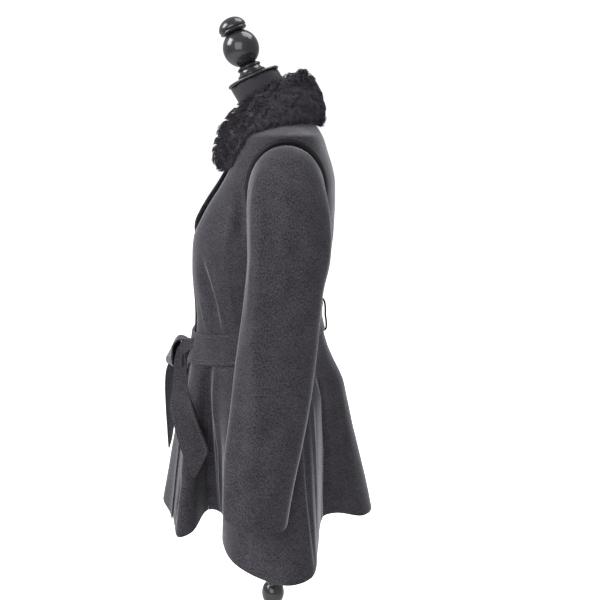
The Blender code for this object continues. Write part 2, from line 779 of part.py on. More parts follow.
def collar_ring(side, place):
    """A section of the fur collar on one side, across the way that the collar runs."""
    names = ("half_length", "half_thick", "turn", "rise")
    half_length, half_thick, turn, rise = (read(COLLAR, COLLAR_COLUMNS, n, place) for n in names)
    turn, rise = math.radians(turn), math.radians(rise)
    face = Vector((math.sin(turn) * math.cos(rise), -math.cos(turn) * math.cos(rise), math.sin(rise)))
    centre = collar_centre(place)
    run = collar_centre(min(1.0, place + 0.02)) - collar_centre(max(0.0, place - 0.02))
    if place > 0.99:
        run = Vector((-1.0, 0.0, 0.0))
    run -= face * run.dot(face)
    across = run.normalized().cross(face)
    ring = []
    for k in range(COLLAR_AROUND):
        a = math.tau * k / COLLAR_AROUND
        lump = math.sin(3.0 * a + side * 21.0 * place) * math.cos(19.0 * place + 2.0 * a)
        lump *= COLLAR_LUMP * min(1.0, half_thick / 0.02)
        offset = across * (half_length + lump) * math.cos(a)
        offset += face * (half_thick + lump) * math.sin(a)
        point = centre + offset
        clear = COLLAR_CLEAR + COLLAR_LEAST * max(0.0, math.sin(a))
        while in_body(point, clear):
            point += face * COLLAR_PUSH
        ring.append(Vector((side * point.x, point.y, point.z)))
    return ring


def fur_collar(fur):
    """One long lumpy roll from the left front over the nape to the right front."""
    half = COLLAR_STEPS // 2
    left = [collar_ring(1, k / half) for k in range(half)]
    nape = [collar_ring(1, 1.0)]
    right = [collar_ring(-1, k / half) for k in range(half)][::-1]
    return tube("fur_collar", left + nape + right, fur)


def coat_surface(turn, z):
    """Outside of the coat near the waist, above or below the seam."""
    top = waist_z(turn)
    if z >= top:
        return outline(turn, z)
    return skirt(turn, (top - z) / (top - hem_point(turn).z))


def belt_band(wool):
    """The belt round the waist."""
    steps = 52
    heights = [BELT_WIDTH * (k / 4.0 - 0.5) for k in range(5)]
    outer, inner = [], []
    for height in heights:
        line, back = [], []
        for k in range(steps):
            turn = -180.0 + 360.0 * k / steps
            base = coat_surface(turn, waist_z(turn) + height)
            flat = Vector((base.x, base.y, 0.0)) - Vector((0.0, -0.02, 0.0))
            normal = normal_of(coat_surface, turn, waist_z(turn) + height)
            away = (normal + flat.normalized()).normalized()
            back.append(base + away * BELT_CLEAR)
            line.append(base + away * (BELT_CLEAR + BELT_THICK))
        outer.append(line)
        inner.append(back)
    return wall("belt_band", outer, inner, wool, ring=True)


def belt_end(name, rows, tip, wool):
    """A hanging end of the belt, cut to a slanted point."""
    edges = [(Vector((fx, fy, z)), Vector((bx, by, z))) for z, fx, fy, bx, by in rows]
    edges.append((Vector(tip[0]), Vector(tip[1])))
    outer, inner = [], []
    for front, back in edges:
        across = back - front
        facing = across.cross(Vector((0.0, 0.0, 1.0))).normalized()
        line = [front + across * (k / BELT_STRIPS) for k in range(BELT_STRIPS + 1)]
        outer.append([p + facing * 0.5 * BELT_THICK for p in line])
        inner.append([p - facing * 0.5 * BELT_THICK for p in line])
    return wall(name, outer, inner, wool)


def belt_knot(wool):
    """The knot's wrap, a squat rounded body that slants down to the front."""
    rings = []
    centre = Vector(KNOT_CENTRE)
    lean = Matrix.Rotation(math.radians(-KNOT_TILT), 3, "X")
    for k in range(1, 10):
        polar = math.pi * k / 10
        wide = math.sin(polar) ** 0.6
        rings.append([
            centre + lean @ Vector((
                KNOT_HALF[0] * wide * math.cos(a),
                KNOT_HALF[1] * wide * math.sin(a),
                KNOT_HALF[2] * math.cos(polar),
            ))
            for a in (math.tau * j / 14 for j in range(14))
        ])
    return tube("belt_knot", rings, wool)


def belt_bow_loop(wool):
    """The single bow loop: the strap rises from the knot, droops in front and turns back."""
    last = BOW_LOOP[-1][0]

    def centre(place):
        names = ("y", "z")
        y, z = (read(BOW_LOOP, BOW_LOOP_COLUMNS, n, min(last, max(0.0, place))) for n in names)
        return Vector((BOW_LOOP_X, y, z))

    turn = math.radians(BOW_LOOP_TURN)
    across = Vector((math.cos(turn), math.sin(turn), 0.0))
    outer, inner = [], []
    for k in range(BOW_LOOP_STEPS + 1):
        place = last * k / BOW_LOOP_STEPS
        run = centre(place + 0.1) - centre(place - 0.1)
        away = across.cross(run).normalized()
        half = read(BOW_LOOP, BOW_LOOP_COLUMNS, "half_width", place)
        line = [centre(place) + across * half * s for s in (-1.0, -0.5, 0.0, 0.5, 1.0)]
        outer.append([p + away * 0.5 * BELT_THICK for p in line])
        inner.append([p - away * 0.5 * BELT_THICK for p in line])
    return wall("belt_bow_loop", outer, inner, wool)


def belt_thread_loop(wool):
    """The thread carrier at the centre back, standing clear of the belt."""
    middle = waist_z(180.0)
    rings = []
    steps = 14
    for k in range(steps + 1):
        a = math.pi * (k / steps - 0.5)
        height = THREAD_HALF_HEIGHT * math.sin(a)
        base = coat_surface(180.0, middle + height)
        out = base.y + THREAD_RADIUS + THREAD_CLEAR + THREAD_BULGE * math.cos(a) ** 0.8
        centre = Vector((0.0, out, middle + height))
        slope = Vector((0.0, -THREAD_BULGE * math.sin(a), THREAD_HALF_HEIGHT * math.cos(a)))
        if slope.length < 1e-6:
            slope = Vector((0.0, -1.0, 0.0))
        across = Vector((1.0, 0.0, 0.0))
        third = slope.normalized().cross(across)
        rings.append([
            centre + THREAD_RADIUS * (across * math.cos(b) + third * math.sin(b))
            for b in (math.tau * j / 6 for j in range(6))
        ])
    return tube("belt_thread_loop", rings, wool)


def form_ease(turn, z):
    ease = read(FORM_EASE, FORM_EASE_COLUMNS, "ease", z)
    extra = read(FORM_EASE, FORM_EASE_COLUMNS, "front_ease", z)
    return ease + extra * max(0.0, math.cos(math.radians(turn))) ** 2


def form_torso(fabric):
    """Torso and neck, filling the coat from the hips to the leaning neck."""
    levels = (
        0.802, 0.820, 0.850, 0.885, 0.930, 0.980, 1.030, 1.080, 1.130, 1.170,
        1.210, 1.250, 1.290, 1.325, 1.348, 1.358, 1.367, 1.377, 1.387,
    )
    turns = [360.0 * k / FORM_AROUND for k in range(FORM_AROUND)]
    rings = []
    for z in levels:
        ring = []
        for turn in turns:
            normal = normal_of(outline, turn, z)
            ring.append(outline(turn, z) - normal * (CLOTH + form_ease(turn, z)))
        rings.append(ring)
    bottom = [Vector((p.x * 0.80, p.y * 0.80, FORM_BOTTOM)) for p in rings[0]]
    rings.insert(0, bottom)
    for share, radius in ((0.0, NECK_FLARE), (0.35, 1.02), (0.7, 1.0), (1.0, 1.0)):
        centre = Vector(NECK_BASE).lerp(Vector(NECK_TOP), share)
        lean = Matrix.Rotation(math.radians(NECK_TILT * (0.45 + 0.55 * share)), 3, "X")
        ring = []
        for turn in turns:
            a = math.radians(turn)
            flat = Vector((math.sin(a), -math.cos(a), 0.0)) * NECK_RADIUS * radius
            ring.append(centre + lean @ flat)
        rings.append(ring)
    return tube("form_torso", rings, fabric)


def neck_place(height):
    """A frame on the neck's axis, so far above the neck's top."""
    lean = Matrix.Rotation(math.radians(NECK_TILT), 4, "X")
    up = lean @ Vector((0.0, 0.0, height))
    return Matrix.Translation(Vector(NECK_TOP) + up) @ lean


def finial(wood):
    """Neck cap, turned collar, ball and top, stacked on the neck's axis."""
    height = SEAM_GAP
    for name in ("form_neck_cap", "form_finial_collar"):
        turned(name, FINIAL[name], neck_place(height), wood)
        height += FINIAL[name][-1][0] + SEAM_GAP
    neck = math.asin(0.0150 / BALL_RADIUS)
    ball = []
    for k in range(15):
        polar = math.pi - neck - (math.pi - 2.0 * neck) * k / 14
        ball.append((BALL_RADIUS * (math.cos(neck) + math.cos(polar)), BALL_RADIUS * math.sin(polar)))
    turned("form_finial_ball", ball, neck_place(height), wood)
    height += 2.0 * BALL_RADIUS * math.cos(neck) + SEAM_GAP
    turned("form_finial_top", FINIAL["form_finial_top"], neck_place(height), wood)


def stand(wood):
    """Base, pole and the turned knob that shows below the hem."""
    upright = Matrix.Identity(4)
    base = (
        (0.0, BASE_RADIUS - 0.004), (0.004, BASE_RADIUS), (0.010, BASE_RADIUS),
        (0.015, BASE_RADIUS - 0.008), (0.020, 0.090), (BASE_HEIGHT, 0.040),
    )
    turned("stand_base", base, upright, wood, 40)
    low = BASE_HEIGHT + SEAM_GAP
    knob_low = KNOB_Z - KNOB_HALF
    pole_low = (
        (low, 0.026), (low + 0.012, 0.024), (low + 0.020, POLE_RADIUS + 0.002),
        (knob_low - SEAM_GAP, POLE_RADIUS),
    )
    turned("stand_pole_low", pole_low, upright, wood, 20)
    knob = [
        (KNOB_Z - KNOB_HALF * math.cos(a), max(POLE_RADIUS, KNOB_RADIUS * math.sin(a) ** 0.8))
        for a in (math.pi * k / 10 for k in range(11))
    ]
    turned("stand_knob", knob, upright, wood)
    top = FORM_BOTTOM - SEAM_GAP
    pole = ((KNOB_Z + KNOB_HALF + SEAM_GAP, POLE_RADIUS), (top - 0.05, POLE_RADIUS), (top, 0.022))
    turned("stand_pole", pole, upright, wood, 20)


def build():
    clear_scene()
    wool = material("charcoal_wool", (0.050, 0.050, 0.054), 0.85)
    trim = material("black_trim", (0.012, 0.012, 0.013), 0.60)
    fur = material("black_fur", (0.012, 0.012, 0.013), 0.90)
    fabric = material("form_cover", (0.018, 0.018, 0.019), 0.80)
    wood = material("black_wood", (0.010, 0.010, 0.011), 0.22)
    bodice_panels(wool)
    skirt_panels(wool)
    sleeves(wool)
    for side, mark in ((1, "L"), (-1, "R")):
        armhole_band(side, mark, trim)
    fur_collar(fur)
    belt_band(wool)
    belt_knot(wool)
    belt_bow_loop(wool)
    belt_end("belt_end_near", BELT_END_NEAR, NEAR_TIP, wool)
    belt_end("belt_end_far", BELT_END_FAR, FAR_TIP, wool)
    belt_thread_loop(wool)
    form_torso(fabric)
    finial(wood)
    stand(wood)


build()
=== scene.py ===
"""A belted wool coat with a fur collar on a limbless dress form.

Metres, +Z up. The wearer faces -Y and +X is the wearer's left. Turns are degrees round the
body: 0 at the centre front, 90 at the wearer's left side, 180 at the centre back, and negative
on the wearer's right.
"""

import bisect
import math

import bmesh
import bpy
import numpy as np
from mathutils import Matrix, Vector, kdtree, noise


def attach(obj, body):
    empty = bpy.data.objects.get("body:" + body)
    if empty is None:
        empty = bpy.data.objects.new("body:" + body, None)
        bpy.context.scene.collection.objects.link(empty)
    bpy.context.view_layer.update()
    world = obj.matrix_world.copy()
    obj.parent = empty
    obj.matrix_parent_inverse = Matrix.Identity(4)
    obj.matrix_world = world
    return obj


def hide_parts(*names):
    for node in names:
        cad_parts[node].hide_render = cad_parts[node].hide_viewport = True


bl_info = {
    "name": "Belted Coat on Dress Form",
    "version": (1, 0, 0),
    "blender": (4, 5, 0),
    "location": "View3D > Sidebar > Coat",
    "description": "Makes a belted wool coat with a fur collar and the dress form that carries it",
    "category": "Add Mesh",
}

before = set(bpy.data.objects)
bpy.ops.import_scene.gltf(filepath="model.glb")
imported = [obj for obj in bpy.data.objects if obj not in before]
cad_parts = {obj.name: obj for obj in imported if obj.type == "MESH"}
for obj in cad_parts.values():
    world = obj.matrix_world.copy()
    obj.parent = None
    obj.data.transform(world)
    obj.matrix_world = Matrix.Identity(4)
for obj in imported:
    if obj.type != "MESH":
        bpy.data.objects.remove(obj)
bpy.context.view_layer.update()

SEAM_GAP = 0.0003
CLOTH_SEAM = 0.00002
LAP_DEPTH = 0.0036
LAP_MARGIN = 3.0
LAP_RAMP = 8.0
V_SINK = 0.004
V_STAND = 0.011
V_TURN = 16.0
WAIST_Z = 0.992
WAIST_RISE = 0.026
FOLD_GROWTH = 1.1
BELT_WIDTH = 0.055
BELT_STITCHES = (-0.024, -0.019, 0.024)
BELT_CLEAR = 0.0012
STITCH_RADIUS = 0.00055
STITCH_SUNK = 0.0002
CARRIER_HALF_HEIGHT = 0.031
CARRIER_BULGE = 0.009
STRAND_RADIUS = 0.0011
CORNER_ANGLE = 22.0
SIDES = ((1, "L"), (-1, "R"))

# Smooth outline of the coat by height: front and back are Y at the centre, middle is Y of the
# widest point, power sets how square the section is
SECTION_COLUMNS = ("z", "half_width", "front", "back", "middle", "power")
SECTIONS = (
    (0.6, 0.16, -0.162, 0.118, -0.01, 0.92),
    (0.8, 0.16, -0.162, 0.118, -0.01, 0.92),
    (0.88, 0.157, -0.162, 0.118, -0.012, 0.92),
    (0.935, 0.147, -0.158, 0.1, -0.014, 0.92),
    (0.975, 0.137, -0.151, 0.096, -0.016, 0.92),
    (1.01, 0.132, -0.146, 0.096, -0.016, 0.92),
    (1.05, 0.135, -0.145, 0.098, -0.01, 0.9),
    (1.1, 0.146, -0.148, 0.107, 0.004, 0.86),
    (1.15, 0.156, -0.146, 0.116, 0.018, 0.84),
    (1.18, 0.16, -0.142, 0.12, 0.028, 0.84),
    (1.21, 0.163, -0.13, 0.122, 0.034, 0.85),
    (1.24, 0.166, -0.113, 0.123, 0.035, 0.86),
    (1.27, 0.17, -0.093, 0.123, 0.035, 0.87),
    (1.3, 0.174, -0.077, 0.118, 0.035, 0.88),
    (1.33, 0.177, -0.066, 0.108, 0.035, 0.88),
    (1.352, 0.178, -0.057, 0.101, 0.035, 0.88),
    (1.362, 0.152, -0.053, 0.096, 0.035, 0.88),
    (1.372, 0.124, -0.048, 0.09, 0.035, 0.9),
    (1.382, 0.096, -0.043, 0.082, 0.034, 0.94),
    (1.392, 0.07, -0.038, 0.072, 0.032, 1.0),
)

# Hem of the skirt: turn, x, y, z of each crest, valley or shoulder of a fold
HEM_FOLDS = (
    (-170.0, -0.048, 0.182, 0.62),
    (-160.0, -0.068, 0.14, 0.634),
    (-150.0, -0.092, 0.112, 0.64),
    (-136.0, -0.18, 0.098, 0.628),
    (-121.0, -0.262, 0.092, 0.62),
    (-111.0, -0.297, 0.056, 0.618),
    (-100.0, -0.288, 0.01, 0.62),
    (-87.0, -0.245, -0.046, 0.624),
    (-74.0, -0.178, -0.076, 0.632),
    (-60.0, -0.098, -0.094, 0.642),
    (-49.0, -0.078, -0.126, 0.642),
    (-37.0, -0.13, -0.152, 0.626),
    (-27.0, -0.128, -0.184, 0.624),
    (-14.0, -0.062, -0.203, 0.632),
    (0.0, 0.0, -0.2235, 0.634),
    (14.0, 0.062, -0.199, 0.63),
    (27.0, 0.138, -0.174, 0.622),
    (35.0, 0.128, -0.145, 0.626),
    (48.0, 0.074, -0.124, 0.642),
    (59.0, 0.092, -0.092, 0.642),
    (72.0, 0.172, -0.085, 0.632),
    (86.0, 0.238, -0.059, 0.629),
    (99.0, 0.282, -0.01, 0.626),
    (111.0, 0.299, 0.04, 0.624),
    (121.0, 0.271, 0.079, 0.624),
    (135.0, 0.19, 0.09, 0.628),
    (150.0, 0.092, 0.101, 0.635),
    (160.0, 0.068, 0.13, 0.634),
    (170.0, 0.053, 0.18, 0.62),
    (180.0, 0.0, 0.205, 0.612),
)
SKIRT_LEFT_TURN = -4.0
SKIRT_STEP = 1.5
SKIRT_ROWS = 30
SKIRT_RIGHT_TURN = 17.0

# X of the fronts' free edges by height. The right front laps over the left.
FRONT_EDGE_COLUMNS = ("z", "left_x", "right_x")
FRONT_EDGES = (
    (0.94, -0.014, 0.044),
    (1.03, -0.014, 0.032),
    (1.08, -0.014, 0.021),
    (1.12, -0.013, 0.01),
    (1.15, -0.006, -0.001),
    (1.175, 0.012, -0.014),
    (1.21, 0.03, -0.03),
    (1.25, 0.041, -0.041),
    (1.3, 0.05, -0.05),
    (1.345, 0.056, -0.056),
    (1.372, 0.06, -0.06),
    (1.392, 0.062, -0.062),
)

# Turn of the princess seams by height
SEAM_COLUMNS = ("z", "front_turn", "back_turn")
SEAMS = (
    (0.94, 49.0, 148.0),
    (1.05, 47.0, 147.0),
    (1.11, 44.0, 146.0),
    (1.166, 41.5, 143.0),
    (1.22, 45.5, 139.5),
    (1.262, 51.0, 137.0),
    (1.306, 58.0, 135.0),
)
SIDE_SEAM = 95.0

ARMHOLE_Y = 0.035
ARMHOLE_Z = 1.263
ARMHOLE_HALF_Y = 0.071
ARMHOLE_HALF_Z = 0.087
ARMHOLE_LEVELS = 24
PRINCESS_ENDS = (14, 10)
WAIST_TO_ARMHOLE = (0.992, 1.006, 1.02, 1.034, 1.048, 1.064, 1.08, 1.098, 1.115, 1.133, 1.15, 1.163)
LEVEL_FROM = 1.08
SHOULDER_LEVELS = (1.3535, 1.357, 1.361, 1.365, 1.37, 1.375, 1.381, 1.386)
BAND_INNER = 0.898
BAND_OUTER = 0.988
BAND_PROUD = 0.0022

# Left sleeve from the armhole to the cuff: underarm side and outer side of each section, its
# middle and half size along Y, and how much its plane drops to the back
SLEEVE_COLUMNS = ("inner_x", "inner_z", "outer_x", "outer_z", "mid_y", "half_y", "slant")
SLEEVE = (
    (0.166, 1.178, 0.191, 1.3385, 0.035, 0.064, 0.0),
    (0.169, 1.168, 0.214, 1.328, 0.0355, 0.065, 0.0),
    (0.1705, 1.158, 0.237, 1.307, 0.037, 0.0665, 0.0),
    (0.1715, 1.147, 0.255, 1.277, 0.039, 0.068, 0.0),
    (0.172, 1.132, 0.266, 1.238, 0.0405, 0.0685, 0.0),
    (0.173, 1.112, 0.272, 1.19, 0.039, 0.067, 0.0),
    (0.174, 1.085, 0.275, 1.138, 0.032, 0.0645, 0.0),
    (0.177, 1.045, 0.278, 1.08, 0.026, 0.0645, 0.0),
    (0.182, 1.0, 0.283, 1.02, 0.02, 0.0665, 0.0),
    (0.193, 0.95, 0.291, 0.96, 0.013, 0.0665, 0.0),
    (0.207, 0.898, 0.302, 0.904, 0.0055, 0.065, 0.0),
    (0.22, 0.85, 0.313, 0.854, -0.003, 0.0635, -0.03),
    (0.233, 0.802, 0.323, 0.805, -0.0105, 0.059, -0.08),
    (0.245, 0.744, 0.333, 0.738, -0.017, 0.0535, -0.2),
)
SLEEVE_START = 0.872
SLEEVE_STEPS = 18
SLEEVE_POWER = 0.94
HINDARM_TOP = 66.0
HINDARM_CUFF = 88.0
FOREARM_SEAM = -108.0
SLEEVE_SEAM = 0.17
TROUGH_TURN = -32.0
TROUGH_SPREAD = 16.0
TROUGH_SHARE = 0.1
TROUGH_ROWS = 4.0

# Hanging belt ends: both edges of the strap by height, then the two corners of the tip
BELT_END_NEAR = (
    (0.948, 0.0495, -0.18, 0.051, -0.16),
    (0.94, 0.05, -0.1815, 0.052, -0.1585),
    (0.9283, 0.054, -0.182, 0.054, -0.1585),
    (0.9136, 0.063, -0.1818, 0.067, -0.1558),
    (0.8964, 0.078, -0.1819, 0.085, -0.1526),
    (0.8783, 0.092, -0.1836, 0.103, -0.1453),
    (0.8642, 0.102, -0.1842, 0.112, -0.1391),
    (0.8496, 0.109, -0.1809, 0.115, -0.1347),
    (0.832, 0.114, -0.175, 0.118, -0.1277),
    (0.8116, 0.118, -0.1694, 0.12, -0.1204),
    (0.7928, 0.121, -0.164, 0.122, -0.1142),
    (0.785, 0.122, -0.1612, 0.123, -0.1124),
    (0.769, 0.124, -0.1545, 0.124, -0.12),
    (0.754, 0.126, -0.148, 0.126, -0.1272),
)
NEAR_TIP = ((0.127, -0.142, 0.7365), (0.127, -0.1378, 0.735))
BELT_END_FAR = (
    (0.956, -0.002, -0.1625, -0.026, -0.1615),
    (0.943, -0.003, -0.171, -0.03, -0.168),
    (0.93, -0.004, -0.187, -0.036, -0.18),
    (0.915, -0.004, -0.2035, -0.04, -0.1935),
    (0.896, -0.004, -0.209, -0.044, -0.1995),
    (0.87, -0.004, -0.2112, -0.048, -0.2035),
    (0.842, -0.004, -0.2118, -0.05, -0.205),
    (0.81, -0.004, -0.211, -0.051, -0.206),
    (0.77, -0.004, -0.2098, -0.051, -0.206),
)
FAR_TIP = ((-0.004, -0.2085, 0.739), (-0.034, -0.208, 0.748))
KNOT_CENTRE = (0.03, -0.161, 0.9555)
KNOT_HALF = (0.0235, 0.015, 0.022)
KNOT_TILT = 12.0

# Near end's root, where the strap comes out of the knot, above the rows of its end
STRAP_COLUMNS = ("first_x", "first_y", "first_z", "second_x", "second_y", "second_z")
NEAR_ROOT = (
    (0.06, -0.142, 0.986, 0.064, -0.139, 0.972),
    (0.057, -0.1525, 0.9815, 0.061, -0.148, 0.9655),
    (0.053, -0.165, 0.9735, 0.057, -0.1565, 0.959),
    (0.05, -0.1745, 0.964, 0.053, -0.16, 0.954),
)

# Bow loop: both edges of the strap, over the front, down and back under itself
BOW_LOOP = (
    (0.012, -0.158, 0.97, 0.034, -0.162, 0.973),
    (0.006, -0.168, 0.9755, 0.04, -0.169, 0.9765),
    (0.002, -0.1765, 0.9762, 0.045, -0.175, 0.977),
    (0.001, -0.1845, 0.9712, 0.048, -0.18, 0.9725),
    (0.0, -0.1907, 0.96, 0.049, -0.1835, 0.9655),
    (0.0, -0.1965, 0.949, 0.05, -0.185, 0.957),
    (0.0, -0.202, 0.939, 0.05, -0.186, 0.948),
    (0.0, -0.2065, 0.929, 0.05, -0.1862, 0.939),
    (0.0, -0.205, 0.9205, 0.05, -0.185, 0.932),
    (0.001, -0.2012, 0.9215, 0.048, -0.181, 0.9265),
    (0.002, -0.2, 0.933, 0.046, -0.174, 0.929),
    (0.003, -0.195, 0.9435, 0.044, -0.168, 0.937),
    (0.005, -0.1895, 0.954, 0.042, -0.164, 0.946),
    (0.006, -0.1845, 0.9648, 0.04, -0.162, 0.953),
    (0.009, -0.1785, 0.9705, 0.038, -0.16, 0.96),
)

HAIR_RINGS = 5
LOCK_HAIRS = 30
LOCK_PULL = 0.52
CURL_RADIUS = 0.003

NECK_TILT = 23.2
NECK_TOP = (0.0, -0.027, 1.4585)

# Turned pieces as (height, radius) from the foot up
CAP_PROFILE = (
    (0.0, 0.0482), (0.0006, 0.0488), (0.002, 0.0495), (0.0034, 0.0492), (0.0046, 0.0478),
    (0.0052, 0.044), (0.0058, 0.038), (0.0062, 0.03),
)
COLLAR_PROFILE = (
    (0.0, 0.0255), (0.001, 0.0263), (0.0045, 0.0266), (0.0056, 0.0258), (0.0064, 0.0236),
    (0.008, 0.0224), (0.0104, 0.0205), (0.0124, 0.02), (0.014, 0.0216), (0.0154, 0.0225),
    (0.017, 0.0221), (0.0184, 0.02), (0.02, 0.017), (0.0215, 0.015),
)
TOP_PROFILE = (
    (0.0, 0.0195), (0.0006, 0.0215), (0.002, 0.0243), (0.0034, 0.025), (0.0046, 0.0244),
    (0.0056, 0.0232), (0.0064, 0.0236), (0.0074, 0.0254), (0.009, 0.0256), (0.012, 0.0248),
    (0.0155, 0.0232), (0.019, 0.0205), (0.0222, 0.0165), (0.0245, 0.012), (0.0256, 0.008),
    (0.026, 0.004),
)
BALL_RADIUS = 0.033
BALL_NECK_RADIUS = 0.015
BALL_STEPS = 32
POLE_RADIUS = 0.0125
POLE_TOP = 0.796
KNOB_Z = 0.418
KNOB_RADIUS = 0.0235
KNOB_HALF = 0.026
KNOB_STEPS = 24
BASE_TOP = 0.024
BASE_PROFILE = (
    (0.0, 0.171), (0.0012, 0.1732), (0.004, 0.1748), (0.0075, 0.175), (0.0102, 0.1742),
    (0.0125, 0.1715), (0.015, 0.166), (0.0172, 0.145), (0.0192, 0.115), (0.0204, 0.088),
    (0.0218, 0.064), (0.0232, 0.048), (0.024, 0.04),
)

# Studio lights: name, place, power in watts and size
LIGHTS = (
    ("key_light", (0.5, -2.5, 2.9), 71.0, 1.5),
    ("fill_light", (2.8, -0.7, 1.9), 40.0, 2.2),
    ("top_light", (-0.4, 1.0, 3.8), 39.0, 1.8),
)
LIGHTS_AIM = (0.0, 0.0, 1.05)
CAMERA_PLACE = (1.4, 0.057, 1.3325)
CAMERA_PITCH = 11.55
CAMERA_LENS = 44.22

# Soft creases in the cloth of each group of pieces, in millimetres: width, depth (negative for a
# trough, positive for a ridge) and the points that the crease runs through
CREASES = {
    "bodice": (
        (18, -11.5, (103, -115.5, 1130), (106.6, -106.6, 1078), (111, -92, 1004)),
        (9, 3.6, (109.1, -111.1, 1140), (113.7, -99.2, 1091), (119, -78, 1010)),
        (7, -2.8, (119.7, -86.6, 1071), (122.2, -69.7, 1010)),
        (8, 2, (134.6, -68.5, 1110), (127.5, -59.9, 1030)),
        (12, -6, (143, -46.1, 1262), (150.1, -42.8, 1224), (150, -45.2, 1178)),
        (9, 2.4, (139.6, -56.9, 1240), (140.3, -68.3, 1180), (132.8, -75.5, 1118)),
        (5, 1.8, (78, -124, 1060), (93, -112.8, 1008)),
        (11, -4.8, (-98, -119, 1118), (-100, -111, 1066), (-103.5, -101, 1012)),
        (7, 2.8, (-108, -112, 1142), (-113, -99, 1080), (-116, -84, 1018)),
        (6, -2.4, (-124, -80, 1085), (-122.5, -70, 1012)),
        (9, -3.2, (-144, -45, 1255), (-149.5, -45, 1200)),
        (10, 2, (-139, -60, 1230), (-139.5, -70, 1150)),
        (12, 2, (60, 106, 1230), (52, 106, 1150), (45, 95, 1070)),
        (11, 1.8, (-56, 108, 1240), (-50, 107, 1160), (-48, 96, 1080)),
        (6, -2.4, (95, 74, 1078), (45, 93, 1052)),
        (7, -2.6, (-90, 77, 1086), (-30, 95, 1060)),
        (5, -1.8, (-75, 82, 1046), (-20, 96, 1040)),
        (6, -1.6, (20, 97, 1075), (23, 96, 1024)),
    ),
    "sleeve_L": (
        (21.5, -13.5, (230.1, -2, 1293), (260.1, -5, 1179), (269, -11, 1069), (285.5, -18, 956),
         (296, -24, 900)),
        (17, -4.4, (291, -3, 945), (309.5, -22, 852), (321.2, -31.6, 789)),
        (15, 2.6, (238.5, 50.8, 1301), (269.1, 57, 1196), (277.1, 41.4, 1071)),
        (4.5, -3.4, (288.2, -60.5, 849), (305.8, -36.7, 843)),
        (5, -3.8, (304.8, -58.1, 808.5), (316.6, -39.8, 793.7)),
        (8.5, -2.2, (255.7, -39.5, 1013.3), (271.9, -9.4, 1037.5)),
        (9, -2, (273.7, 57, 1054), (281.1, 38.1, 1020)),
    ),
    "sleeve_R": (
        (20, -10, (-229, 3, 1297), (-259, 4, 1170), (-268, -2, 1060), (-284, -9, 972)),
        (12, -2.6, (-290, 0, 950), (-308, -20, 860), (-320, -30, 800)),
        (15, 2.4, (-240, 50, 1295), (-269, 55, 1180), (-278, 40, 1060)),
        (5, -2.2, (-286, -60, 862), (-303, -40, 850)),
        (9, -2.4, (-256, -39, 1000), (-273, -12, 1022)),
        (8, -2, (-274, 56, 1040), (-282, 36, 1012)),
    ),
    "skirt": (
        (11.5, -12.5, (113, -108, 972), (110.2, -113.5, 905), (108.4, -115.9, 860),
         (96.4, -114.4, 778), (77.3, -112, 656)),
        (15, 4.5, (90, -133, 950), (103.7, -135.1, 870)),
        (7.5, 3.8, (121.2, -92.7, 960), (116.6, -100.7, 864), (114.4, -91.6, 785),
         (90.1, -95.2, 652)),
        (9, -6.5, (97.3, 94, 930), (79.3, 106.6, 770), (84.8, 105.4, 640)),
        (8.5, -4.5, (170, 60, 900), (193.1, 65.7, 837), (225.5, 72.5, 741), (253.2, 79.2, 640)),
        (9, 3.5, (150, 80, 880), (175, 87, 780), (202, 90, 650)),
        (9, 2.6, (256.1, 43.5, 720), (286.8, 53.7, 636)),
        (10, -2.4, (220, -30, 740), (256, -33, 640)),
        (10, -3.4, (110.2, -168.6, 730), (110.1, -178.5, 640)),
        (11, -3.6, (46.1, 134.1, 870), (58.2, 159.3, 640)),
        (10, 2.2, (-6, 113, 940), (-10, 150, 800), (-4, 196, 640)),
        (12, -10.5, (-112, -107, 970), (-109, -113, 890), (-100, -115, 780), (-80, -118, 660)),
        (15, 4, (-85, -135, 945), (-98, -138, 860)),
        (8, 3.4, (-123, -90, 950), (-118, -98, 850), (-112, -93, 750)),
        (9.5, -5.5, (-95, 95, 920), (-80, 108, 780), (-83, 108, 645)),
        (8.5, -4, (-180, 64, 860), (-220, 74, 740), (-248, 80, 640)),
        (10, 2.6, (-230, -25, 730), (-260, -26, 640)),
        (11, -2.6, (-42, -176, 860), (-50, -202, 650)),
    ),
    "bow": (
        (2.4, -2.2, (50, -166, 955), (52, -169, 925), (65, -174, 897)),
        (2.2, 2, (50, -163, 955), (53, -162, 925), (70, -164, 890)),
        (6, -1.4, (102, -175, 862), (116, -150, 835)),
        (3, -2.4, (-18, -165, 955), (-20, -195, 915), (-23, -205, 880)),
    ),
}


def eased(share):
    """0 to 1 with level ends."""
    share = min(1.0, max(0.0, share))
    return share * share * (3.0 - 2.0 * share)


def curve(places, values):
    """A smooth curve through the values at rising places, without overshoot."""
    count = len(places)
    slopes = [(values[k + 1] - values[k]) / (places[k + 1] - places[k]) for k in range(count - 1)]
    tangents = [slopes[0]]
    for before, after in zip(slopes, slopes[1:]):
        tangents.append(0.0 if before * after <= 0.0 else 2.0 * before * after / (before + after))
    tangents.append(slopes[-1])

    def at(place):
        if place <= places[0]:
            return values[0]
        if place >= places[-1]:
            return values[-1]
        i = bisect.bisect_right(places, place) - 1
        span = places[i + 1] - places[i]
        t = (place - places[i]) / span
        square, cube = t * t, t * t * t
        rise = 3.0 * square - 2.0 * cube
        lean = tangents[i] * (cube - 2.0 * square + t) + tangents[i + 1] * (cube - square)
        return values[i] * (1.0 - rise) + values[i + 1] * rise + span * lean

    return at


def curves(table, columns, places=None):
    """A smooth curve for each column of a table, by its first column or by the places given."""
    places = places or [row[0] for row in table]
    return {name: curve(places, [row[k] for row in table]) for k, name in enumerate(columns)}


